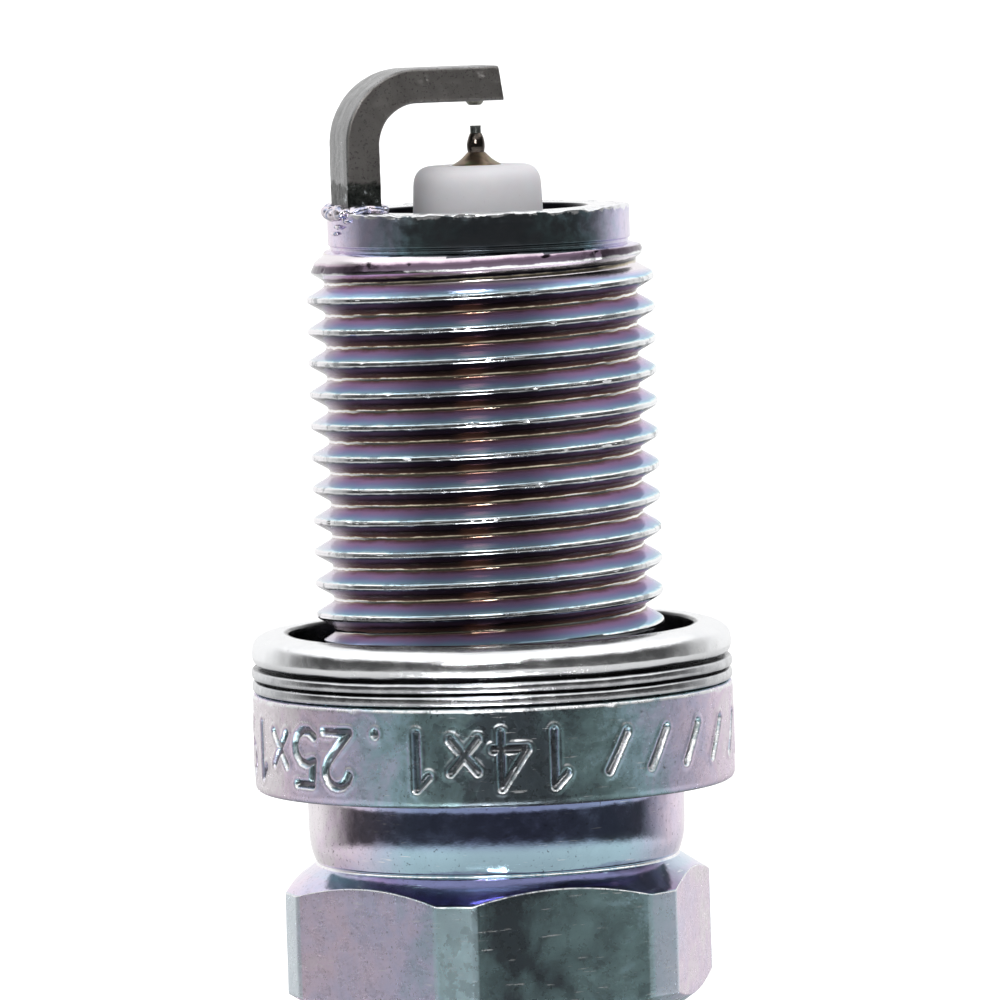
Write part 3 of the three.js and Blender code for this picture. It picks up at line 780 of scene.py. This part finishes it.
def stamp_strokes():
    """Line pieces ((u, v), (u, v)) on the unrolled flange; u runs right from the front.

    The figures read with the terminal end up, so each is turned half round. The slashes
    follow them.
    """
    strokes = []
    for place, letter in enumerate(STAMP_TEXT):
        for line in GLYPHS[letter]:
            turned = [(STAMP["start"] - place * STAMP["advance"] - x * STAMP["height"],
                       STAMP["high"] - y * STAMP["height"]) for x, y in line]
            strokes += list(zip(turned[:-1], turned[1:]))
    for place in range(SLASH["count"]):
        middle = math.radians(SLASH["first"] + place * SLASH["step"]) * FLANGE["radius"]
        strokes.append(((middle - SLASH["lean"], SLASH["low"]), (middle + SLASH["lean"], SLASH["high"])))
    return strokes


def stroke_distance(u, v, strokes):
    """Distance of every point to the nearest stroke."""
    nearest = np.full(u.shape, 9.0)
    for (u0, v0), (u1, v1) in strokes:
        du, dv = u1 - u0, v1 - v0
        share = np.clip(((u - u0) * du + (v - v0) * dv) / (du * du + dv * dv), 0, 1)
        nearest = np.minimum(nearest, np.hypot(u - u0 - share * du, v - v0 - share * dv))
    return nearest


def flange():
    """The gasket seat flange with its stamped figures and slashes."""
    columns = 1441
    radius, low = FLANGE["radius"], FLANGE["low"]
    rows = section([
        (FLANGE["inner"], low, 0), (radius, low, 0.3), (radius, 0, 0.2), (FLANGE["inner"], 0, 0),
    ], columns, 0.9)
    outside = rows[:, 0, 0] > radius - 0.01
    first = int(np.argmax(outside))
    band = filled_rows(rows[outside], 0.05)
    rows = np.concatenate([rows[:first], band, rows[first + int(outside.sum()):]])
    turn = (angles(columns) + 1.5 * math.pi) % (2 * math.pi) - math.pi
    u = np.broadcast_to(turn * radius, rows.shape[:2])
    away = stroke_distance(u, rows[..., 1], stamp_strokes())
    points = turned_points(rows)
    width = STAMP["width"]
    uneven = 1 + 0.35 * value_noise(points, 0.6, 11)
    cut = STAMP["depth"] * uneven * (1 - smooth_step(away, 0.35 * width, width))
    lip = 0.028 * np.exp(-((away - 1.35 * width) / (0.45 * width)) ** 2)
    wear = 0.006 * value_noise(points, 0.5, 12) + 0.004 * value_noise(points, 0.15, 13)
    wall = smooth_step(rows[..., 0], radius - 0.05, radius - 0.01)
    edge = smooth_step(rows[..., 1], -0.3, -0.05) * smooth_step(rows[..., 0], radius - 0.4, radius)
    dents = 0.05 * smooth_step(value_noise(points, 0.5, 14), 0.25, 0.7) * edge
    change = wall * (lip - cut + wear) - dents
    points[..., :2] *= (1 + change / radius)[..., None]
    return grid_piece("shell_flange", points, 50)


def hex_radius(turn):
    """Radius at an angle of a hexagon whose corners are cut to narrow strips."""
    corner = (turn - math.radians(HEX["turn"]) + math.pi / 6) % (math.pi / 3) - math.pi / 6
    off = np.abs(corner)
    flat = HEX["flat"] / np.cos(math.pi / 6 - off)
    strip = HEX["corner"] / np.cos(0.7 * off)
    return smooth_min(flat, strip, 0.05)


def hexagon():
    """Neck, chamfered hexagon and the rolled crimp, with the bore for the seals."""
    columns = 721
    size = hex_radius(angles(columns))
    high, low, cone, lip = HEX["high"], HEX["low"], HEX["cone"], CRIMP["lip"]
    cut = (size - cone) * math.tan(math.radians(30))
    lip_top, bore = CRIMP["low"] + CRIMP["wall"], PACKING_BORE["radius"]
    rows = section([
        (lip, CRIMP["low"], 0.15), (CRIMP["radius"] - 0.5, CRIMP["low"], 0.7),
        (CRIMP["radius"], low, 0.12), (cone, low + 0.02, 0.03), (size, low + 0.1 + cut, 0.05),
        (size, high - 0.1 - cut, 0.05), (cone, high, 0.04), (cone - 0.06, high + 0.1, 0.04),
        (NECK_RADIUS - 0.24, high + 0.14, 0.06), (NECK_RADIUS - 0.01, high + 0.85, 0.75),
        (NECK_RADIUS, FLANGE["low"] - 0.3, 0.2), (NECK_RADIUS + 0.06, FLANGE["low"], 0),
        (BODY_BORE, FLANGE["low"], 0), (BODY_BORE, PACKING_BORE["cone_high"], 0.1),
        (bore, PACKING_BORE["cone_low"], 0.1), (bore, lip_top, 0.2), (lip, lip_top, 0.15),
    ], columns, 0.3)
    points = turned_points(rows)
    outside = smooth_step(rows[..., 0], 6.6, 7.0)
    wear = 0.01 * value_noise(points, 1.1, 21) + 0.004 * value_noise(points, 0.25, 22)
    about = 8  # millimetres, close to the radius all over the outside
    points[..., :2] *= (1 + outside * wear / about)[..., None]
    return grid_piece("shell_hexagon", points, 32)


# ---- gasket ---------------------------------------------------------------------------------


def gasket():
    """A strip of sheet folded to three layers, with a domed roll on top and a captive lip."""
    columns = 361
    outer, top = GASKET_HIGH[0], GASKET_HIGH[2]
    opening, catch, low = GASKET["opening"], GASKET["catch"], GASKET["dome"]
    lower, upper = GASKET["grooves"]
    inner = opening + 0.2
    dome = [(inner + (outer - inner) * math.cos(turn) ** (2 / 3),
             low + (top - low) * math.sin(turn) ** (2 / 3), 0)
            for turn in np.linspace(0, math.pi / 2, 40)[1:-1]]
    rows = section([
        (catch, 0.05, 0.1), (outer - 0.35, 0.04, 0.1), (outer, 0.06, 0.16), (outer, lower - 0.06, 0.16),
        (outer - 0.45, lower - 0.02, 0.02), (outer - 0.45, lower + 0.03, 0.02),
        (outer + 0.02, lower + 0.04, 0.17), (outer + 0.02, upper - 0.06, 0.17),
        (outer - 0.65, upper - 0.03, 0.03), (outer - 0.65, upper + 0.05, 0.03),
        (outer - 0.24, upper + 0.06, 0.06), (outer - 0.07, upper + 0.17, 0.12), (outer, low, 0.12), *dome,
        (opening, top - 0.03, 0.1), (opening - 0.04, 0.62, 0.12), (catch, 0.43, 0.12),
    ], columns, 0.14, steps=6)
    points = turned_points(rows)
    flat = points * np.array([1, 1, 0])
    lift = 0.035 * value_noise(flat, 3.5, 31) + 0.012 * value_noise(points, 0.8, 32)
    high = smooth_step(rows[..., 1], 0.1, 1.0)
    points[..., 2] += high * lift
    swell = 0.02 * value_noise(flat + 50, 4.0, 33) + 0.01 * value_noise(points, 0.5, 34)
    points[..., :2] *= (1 + high * swell / outer)[..., None]
    return grid_piece("gasket_folded", points, 45)


# ---- insulator ------------------------------------------------------------------------------


def insulator():
    """One ceramic body: nose, seat cone, sealed shoulder, ribs and terminal end."""
    low, top = INSULATOR_LOW[2], INSULATOR_HIGH[2]
    stud_bore, electrode_bore = STUD_BORE["radius"], ELECTRODE_BORE["radius"]
    outline = [
        (stud_bore, low, 0.1), (3.62, low, 0.35), (4.02, low + 0.6, 0.3), (4.1, low + 4.6, 1.2),
    ]
    for rib in reversed(range(RIBS["count"])):
        high = RIBS["first"] - rib * RIBS["pitch"]
        low_side = high - RIBS["pitch"]
        valley, crest = RIBS["valley"] - 0.1 * rib, RIBS["crest"] - 0.12 * rib
        outline += [(valley, low_side + 0.25, 0.9), (crest, low_side + 0.96, 0.75),
                    (crest, high - 0.9, 0.75), (valley, high - 0.25, 0.9)]
    outline += [
        (5.1, RIBS["first"] + 1.0, 0.9), (5.1, SHOULDER["low"], 0.1),
        (SHOULDER["radius"], SHOULDER["low"], 0.2), (SHOULDER["radius"], SHOULDER["high"], 0.3),
        (SEAT_CONE["radius"], SHOULDER["high"] + 0.8, 0.3), (SEAT_CONE["radius"], SEAT_CONE["low"], 0.3),
        (NOSE["root"] + 0.02, SEAT_CONE["high"], 0.3), (NOSE["root"], LEDGE["high"], 0.5),
        (NOSE["at_rim"], RIM, 0), (NOSE["end"], top, 0.92), (electrode_bore, top, 0.06),
        (electrode_bore, ELECTRODE_BORE["low"], 0.1), (stud_bore, STUD_BORE["high"], 0.1),
    ]
    return lathed("insulator_body", outline, 193, 0.5, 60, (0.002, 1.6, 41), steps=7)


# ---- centre electrode -----------------------------------------------------------------------


def electrode_cone():
    """The sheath's shaft and the cone that stands out of the insulator."""
    shaft, foot, top = ELECTRODE_BORE["radius"] - 0.04, INSULATOR_HIGH[2], ELECTRODE_HIGH[2]
    return lathed("electrode_cone", [
        (0, foot - 3, 0), (shaft, foot - 3, 0.05), (shaft, foot + 0.01, 0.05),
        (0.62, foot + 0.22, 0.3), (0.35, top, 0.02), (0, top, 0),
    ], 97, 0.08, 40, (0.012, 0.3, 51), closed=False, steps=6)


def weld_bead():
    """The fused barrel between the cone and the wire."""
    low, high = WELD_LOW[2] - 0.03, WELD_HIGH[2] + 0.06
    size = 0.355
    return lathed("tip_weld_bead", [
        (0, low, 0), (size - 0.03, low, 0.03), (size + 0.02, low + 0.3, 0.25),
        (size - 0.04, high - 0.2, 0.2), (TIP_HIGH[0] + 0.01, high, 0.03), (0, high, 0),
    ], 97, 0.03, 60, (0.015 / size, 0.4, 52), closed=False, steps=7)


def iridium_wire():
    """The fine wire, with a small burr round its end."""
    radius, low, high = TIP_HIGH[0], WELD_LOW[2] + 0.3, TIP_HIGH[2]
    return lathed("iridium_wire", [
        (0, low, 0), (radius, low, 0), (radius, high - 0.05, 0), (radius + 0.012, high, 0.012),
        (0, high, 0),
    ], 65, 0.05, 40, (0.01, 0.12, 53), closed=False)


# ---- ground electrode -----------------------------------------------------------------------


def bar_outline(count_per_side=14):
    """Rounded rectangle as (out, side) offsets; out points away from the bend's centre."""
    half_out, half_side, size = BAR["thickness"] / 2, BAR["width"] / 2, BAR["round"]
    points = []
    for sign_out, sign_side, start in ((1, 1, 0), (-1, 1, 90), (-1, -1, 180), (1, -1, 270)):
        centre = (sign_out * (half_out - size), sign_side * (half_side - size))
        points += arc_points(*centre, size, start, start + 90, 7)
    closed = points + [points[0]]
    dense = []
    for here, after in zip(closed[:-1], closed[1:]):
        steps = max(1, math.ceil(math.dist(here, after) / (BAR["width"] / count_per_side / 2)))
        for i in range(steps):
            dense.append((here[0] + (after[0] - here[0]) * i / steps,
                          here[1] + (after[1] - here[1]) * i / steps))
    return np.array(dense + [dense[0]])


def bar_path(step=0.07):
    """Stations (x, z, tilt) along the bar's centre line; tilt 0 points up and 90 inward."""
    x = BAR["inner"] + BAR["thickness"] / 2
    z = BAR_UNDERSIDE + BAR["thickness"] / 2
    size = BAR["bend"] + BAR["thickness"] / 2
    leg = [(x, height, 0) for height in np.arange(RIM - 0.3, z - size, step)]
    turns = np.linspace(0, math.pi / 2, math.ceil(size * math.pi / 2 / step))
    bend = [(x - size + size * math.cos(t), z - size + size * math.sin(t), t) for t in turns]
    arm = [(place, z, math.pi / 2) for place in np.arange(x - size - step, -BAR_TIP["past"], -step)]
    arm.append((-BAR_TIP["past"], z, math.pi / 2))
    return np.array(leg + bend + arm)


def dent(points, centre, size, depth, direction):
    """Pushes points near a place on the bar, along a direction."""
    away = np.linalg.norm((points - np.array(centre)) / np.array(size), axis=-1)
    return points + (depth * np.exp(-away ** 2))[..., None] * np.array(direction)


# Nicks in the side that faces front: their places, sizes and depths in the bar's own frame.
BAR_TOP = BAR_UNDERSIDE + BAR["thickness"]
NICKS = (
    ((0.15, BAR["width"] / 2, BAR_TOP - 0.33), (0.17, 0.3, 0.07), 0.07),
    ((2.35, BAR["width"] / 2, BAR_TOP - 0.42), (0.06, 0.3, 0.11), 0.06),
    ((2.62, BAR["width"] / 2, BAR_TOP - 0.6), (0.09, 0.3, 0.06), 0.06),
    ((4.3, BAR["width"] / 2, BAR_TOP - 1.5), (0.3, 0.3, 0.2), 0.03),
)
END_RINGS = (0.985, 0.95, 0.8, 0.6, 0.4, 0.2, 0.0)  # shrinking rings that close each end


def bar_end(ring, way):
    """Rings from the edge of an end to its middle, which is slightly domed."""
    middle = ring.mean(axis=0)
    return [middle + (ring - middle) * share + np.array(way) * 0.05 * (1 - share ** 8)
            for share in END_RINGS]


def ground_bar():
    """The L-shaped bar, drawn, cropped at the tip and bent over the centre electrode."""
    outline = bar_outline()
    path = bar_path()
    x, z, tilt = (path[:, i][:, None] for i in range(3))
    out, side = outline[:, 0][None, :], outline[:, 1][None, :]
    points = np.stack([x + out * np.cos(tilt), side + 0 * x, z + out * np.sin(tilt)], -1)
    last = len(path) - 1
    slant = smooth_step(np.arange(len(path)), last + 1 - BAR_TIP["slant_rows"], last)[:, None]
    points[..., 0] -= slant * BAR_TIP["slant"] * (0.5 - out / BAR["thickness"])
    foot = bar_end(points[0], (0, 0, -1.0))
    tip = bar_end(points[-1], (-1.0, 0, 0))
    points = np.concatenate([np.array(foot[::-1]), points, np.array(tip)])
    caps = len(END_RINGS)
    flat = np.zeros((len(path), len(outline)))
    drawn = value_noise(np.stack([out * 9 + flat, side * 9 + flat, flat], -1), 1.2, 61)
    change = 0.012 * value_noise(points, 0.3, 62) + 0.006 * value_noise(points, 0.1, 63)
    change[caps:-caps] += 0.008 * drawn
    heart = np.concatenate([np.repeat(path[:1], caps, 0), path, np.repeat(path[-1:], caps, 0)])
    centre = np.stack([heart[:, 0], 0 * heart[:, 0], heart[:, 1]], -1)[:, None, :]
    away = points - centre
    length = np.maximum(np.linalg.norm(away, axis=-1, keepdims=True), 0.1)
    points = points + away / length * change[..., None]
    for nick in NICKS:
        points = dent(points, *nick, (0, -1, 0))
    return grid_piece("ground_bar", spun(points), 45)


def spun(points):
    """Turns points from the bar's own frame to where its foot stands on the rim."""
    turn = math.radians(BAR["turn"])
    x, y = points[..., 0], points[..., 1]
    return np.stack([x * math.cos(turn) - y * math.sin(turn),
                     x * math.sin(turn) + y * math.cos(turn), points[..., 2]], -1)


def blob(work, centre, size, lean=0.0):
    """Adds an ellipsoid to a bmesh, in the bar's frame."""
    matrix = (Matrix.Rotation(math.radians(BAR["turn"]), 4, "Z") @ Matrix.Translation(Vector(centre))
              @ Matrix.Rotation(lean, 4, "Y") @ Matrix.Diagonal((*size, 1)))
    bmesh.ops.create_icosphere(work, subdivisions=3, radius=1, matrix=matrix)


# Folds of weld metal over the rim: their places, half sizes and lean in the bar's own frame.
FOLDS = (
    ((5.35, 1.62, RIM + 0.12), (0.42, 0.2, 0.17), 0.3),
    ((4.75, 1.6, RIM + 0.2), (0.5, 0.16, 0.13), -0.2),
    ((5.98, 0.95, RIM + 0.05), (0.26, 0.5, 0.3), 0.1),
    ((6.06, 0.2, RIM - 0.05), (0.26, 0.6, 0.24), -0.2),
    ((6.0, -0.75, RIM + 0.02), (0.24, 0.45, 0.27), 0.2),
    ((5.75, 1.45, RIM - 0.28), (0.2, 0.45, 0.13), 0.0),
    ((6.02, 0.75, RIM - 0.5), (0.08, 0.5, 0.1), 0.0),
    ((6.02, 0.35, RIM - 0.78), (0.1, 0.55, 0.09), 0.0),
)


def weld_lumps():
    """A string of lumps round the foot, and the folds, as overlapping ellipsoids."""
    work = bmesh.new()
    half_out, half_side = BAR["thickness"] / 2 + 0.05, BAR["width"] / 2 + 0.04
    middle = BAR["inner"] + BAR["thickness"] / 2
    count = 30
    for i in range(count):
        turn = 2 * math.pi * i / count
        x = middle + max(-half_out, min(half_out, 1.9 * half_out * math.cos(turn)))
        y = max(-half_side, min(half_side, 1.35 * half_side * math.sin(turn)))
        swell = 0.15 + 0.045 * math.sin(5 * turn + 1) + 0.03 * math.sin(11 * turn)
        blob(work, (x, y, RIM + 0.12), (swell + 0.07, swell + 0.1, swell + 0.02))
    for fold in FOLDS:
        blob(work, *fold)
    mesh = bpy.data.meshes.new("ground_weld_lumps")
    work.to_mesh(mesh)
    work.free()
    return mesh


def weld_flash():
    """Metal squeezed out round the foot of the bar, fused into one skin."""
    lumps = placed("ground_weld_lumps", weld_lumps())
    fuse = lumps.modifiers.new("fuse", "REMESH")
    fuse.mode = "VOXEL"
    fuse.voxel_size = 0.035
    soften = lumps.modifiers.new("soften", "SMOOTH")
    soften.iterations = 4
    ready = lumps.evaluated_get(bpy.context.evaluated_depsgraph_get())
    fused = bpy.data.meshes.new_from_object(ready)
    bpy.data.objects.remove(lumps)
    places = np.zeros(len(fused.vertices) * 3)
    fused.vertices.foreach_get("co", places)
    places = places.reshape(-1, 3)
    places[:, 2] += 0.03 * value_noise(places, 0.3, 71)
    places[:, :2] *= (1 + 0.004 * value_noise(places, 0.25, 72))[:, None]
    fused.vertices.foreach_set("co", places.ravel())
    return mesh_piece("ground_weld", fused, 60)


def platinum_pad():
    """The small disc under the arm, let into it."""
    low, high = PAD_LOW[2], PAD_HIGH[2] + 0.05
    size = 0.34
    return lathed("platinum_disc", [
        (0, low, 0), (size - 0.1, low + 0.005, 0.05), (size, low + 0.12, 0.04),
        (size + 0.03, high, 0.02), (0, high, 0),
    ], 65, 0.05, 40, (0.02, 0.2, 75), closed=False)


# ---- terminal -------------------------------------------------------------------------------


def terminal_stud():
    """Collar and threaded end of the stud, from the insulator's end down."""
    columns = 129
    root, shaft, end = 1.6, 1.7, 1.5
    top = INSULATOR_LOW[2] - 0.02
    collar = top - 0.8
    low, high = STUD_LOW[2], collar - 0.2
    heights = thread_heights(low, high, STUD_THREAD, columns)
    radius, _ = thread_radius(heights, angles(columns)[None, :], STUD_THREAD)
    envelope = np.interp(heights, [low, low + 0.4, high - 0.2, high], [end, 2.1, 2.1, root])
    thread = np.stack([smooth_min(radius, envelope, 0.03), heights], -1)
    lower = section([(0, low, 0), (end, low, 0)], columns, 0.3, closed=False)
    upper = section([
        (root, high, 0), (1.75, collar, 0), (2.86, collar, 0.08), (2.9, top, 0.08), (shaft, top, 0),
        (shaft, top + 6, 0), (0, top + 6, 0),
    ], columns, 0.3, closed=False)
    return grid_piece("terminal_stud_end", turned_points(np.concatenate([lower, thread, upper])), 35)


def terminal_nut():
    """SAE terminal nut: turned, with a waist that the cap's spring snaps into."""
    low, high, size = NUT_LOW[2], NUT_HIGH[2], NUT_HIGH[0]
    bore, waist = NUT["bore"], NUT["waist"]
    return lathed("terminal_nut_turned", [
        (bore, low + 0.2, 0.05), (2.3, low, 0.06), (size - 0.4, low, 0.12), (size, low + 0.95, 0.35),
        (size, low + 3.6, 0.2), (waist, low + 4.25, 0.3), (waist, low + 5.6, 0.3),
        (size, low + 6.3, 0.2), (size, high - 0.3, 0.12), (size - 0.3, high, 0.1), (bore, high, 0.05),
    ], 161, 0.2, steps=6)


# ---- camera, floor and light ----------------------------------------------------------------


def make_camera():
    """A long lens a little above the gasket, rolled as the picture is."""
    target = Vector((0.52, 0, 0.387 * RIM)) * MM
    distance, elevation, roll = 0.338, math.radians(4.27), math.radians(1.76)
    data = bpy.data.cameras.new("camera")
    data.lens = 306.2
    data.sensor_width = 36
    data.clip_start = 0.01
    data.clip_end = 100
    data.dof.use_dof = False
    camera = placed("camera", data)
    back = Vector((0, -math.cos(elevation), math.sin(elevation)))
    camera.location = target + back * distance
    camera.rotation_mode = "QUATERNION"
    camera.rotation_quaternion = (-back).to_track_quat("-Z", "Y") @ Quaternion((0, 0, 1), -roll)
    bpy.context.scene.camera = camera


def nut_travel():
    """How far the terminal nut comes down off the stud."""
    joints = frame["record"]["behaviour"]["joints"]
    return next(joint["range_m"][1] for joint in joints if joint["child"] == "terminal_nut")


def make_floor():
    """A pale floor under the terminal, wide enough to fill the view."""
    mesh = bpy.data.meshes.new("floor")
    work = bmesh.new()
    bmesh.ops.create_circle(work, cap_ends=True, segments=64, radius=30)
    work.to_mesh(mesh)
    work.free()
    floor = placed("floor", mesh)
    floor.location.z = cad_low.z - nut_travel()
    n = Surface("floor_white")
    tone = n.ramp(n.noise(0.02), [(0, 0.9), (1, 0.92)])
    white = n.finish(tone, 0.9, 0.0, Specular_IOR_Level=0.0, Emission_Color=(1, 1, 1, 1),
                     Emission_Strength=0.12)
    mesh.materials.append(white)
    floor.visible_glossy = False
    floor.visible_diffuse = False


def make_world():
    """A white tent. What mirrors shows a dark opening in front, with two bright patches in it."""
    world = bpy.data.worlds.new("studio")
    bpy.context.scene.world = world
    world.use_nodes = True
    n = Nodes(world.node_tree)
    x, y, z = n.axes(n.add("ShaderNodeTexCoord").outputs["Generated"])
    rays = n.add("ShaderNodeLightPath").outputs
    # A direction runs from -1 to 1 on each axis, and the ramps want 0 to 1.
    height = n.math("ADD", n.times(z, 0.5), 0.5)
    front = n.math("ADD", n.times(y, -0.5), 0.5)
    tent = n.ramp(height, [(0.0, 0.25), (0.3, 0.5), (0.47, 1.0), (1.0, 1.0)])
    inside = n.ramp(height, [(0.0, 0.3), (0.1, 0.6), (0.385, 0.8), (0.41, 0.07), (0.72, 0.05),
                             (0.77, 1.4), (0.95, 1.4), (1.0, 0.9)])
    opening = n.ramp(front, [(0.0, 0.0), (0.12, 0.0), (0.42, 1.0), (1.0, 1.0)])
    light = n.mix(n.times(opening, rays["Is Glossy Ray"]), tent, inside)
    # The patches are ellipses that make the column of glints down the front.
    across = n.times(n.away(x, -0.06), 1 / 0.16)
    low, high = (n.times(n.away(z, middle), 1 / reach) for middle, reach in ((-0.8, 0.12), (0.36, 0.05)))
    along = n.math("MINIMUM", low, high)
    away = n.math("ADD", n.times(across, across), n.times(along, along))
    patch = n.times(n.math("LESS_THAN", away, 1.0), n.math("LESS_THAN", y, 0.0), rays["Is Glossy Ray"])
    light = n.mix(patch, light, (40, 40, 41))
    light = n.mix(rays["Is Camera Ray"], light, (1, 1, 1))
    n.link(light, n.tree.nodes["Background"].inputs["Color"])


def make_lights():
    """One soft light overhead."""
    sun = bpy.data.lights.new("overhead", "SUN")
    sun.energy = 1.1
    sun.angle = math.radians(70)
    above = placed("overhead", sun)
    above.rotation_euler = (math.radians(12), 0, 0)
    above.visible_glossy = False


# ---- scene ----------------------------------------------------------------------------------


def build_pieces():
    dress(shank(), "plug", thread_plating(), "plated_steel", "shell")
    plating = body_plating()
    for piece in (flange(), hexagon()):
        dress(piece, "plug", plating, "plated_steel", "shell")
    dress(gasket(), "gasket", gasket_material(), "gasket_steel", "gasket")
    dress(insulator(), "plug", alumina_material(), "alumina", "insulator")
    dress(electrode_cone(), "plug", electrode_material(), "nickel_alloy", "center_electrode")
    dress(weld_bead(), "plug", tip_weld_material(), "weld_metal", "tip_weld")
    dress(iridium_wire(), "plug", noble_material("iridium", (0.20, 0.21, 0.20), (0.10, 0.11, 0.10)),
          "noble_metal", "iridium_tip")
    dress(platinum_pad(), "plug", noble_material("platinum", (0.30, 0.30, 0.26), (0.16, 0.16, 0.13)),
          "noble_metal", "platinum_pad")
    dress(ground_bar(), "plug", bar_material(), "nickel_alloy", "ground_electrode")
    dress(weld_flash(), "plug", flash_material(), "weld_metal", "ground_weld_flash")
    steel = steel_material("stud_steel", (0.62, 0.61, 0.60), (0.48, 0.47, 0.46), 0.28)
    dress(terminal_stud(), "plug", steel, "plain_steel", "terminal_stud")
    nickel = steel_material("terminal_nickel", (0.74, 0.72, 0.68), (0.60, 0.58, 0.55), 0.22)
    dress(terminal_nut(), "terminal_nut", nickel, "terminal_steel", "terminal_nut")


def dress_hidden_nodes():
    """Materials for the CAD pieces that stay, all sealed inside."""
    steel = steel_material("seal_steel", (0.50, 0.49, 0.48), (0.36, 0.35, 0.34), 0.4)
    glass = powder_material("seal_glass", (0.30, 0.20, 0.14), (0.12, 0.09, 0.07), 0.3, 0.4)
    looks = {
        "seat_packing": steel, "lower_wire_ring": steel, "upper_wire_ring": steel,
        "lower_glass_seal": glass, "upper_glass_seal": glass,
        "talc_seal": powder_material("talc", (0.84, 0.82, 0.76), (0.70, 0.68, 0.62)),
        "resistor": powder_material("carbon_glass", (0.08, 0.08, 0.085), (0.03, 0.03, 0.03)),
        "copper_core": powder_material("copper", (0.72, 0.42, 0.28), (0.52, 0.28, 0.18), 1.0, 0.35),
    }
    for name, material in looks.items():
        data = frame["nodes"][name].data
        data.materials.clear()
        data.materials.append(material)


bpy.context.scene.view_settings.view_transform = "Standard"
make_camera()
make_world()
make_lights()
make_floor()
build_pieces()
dress_hidden_nodes()
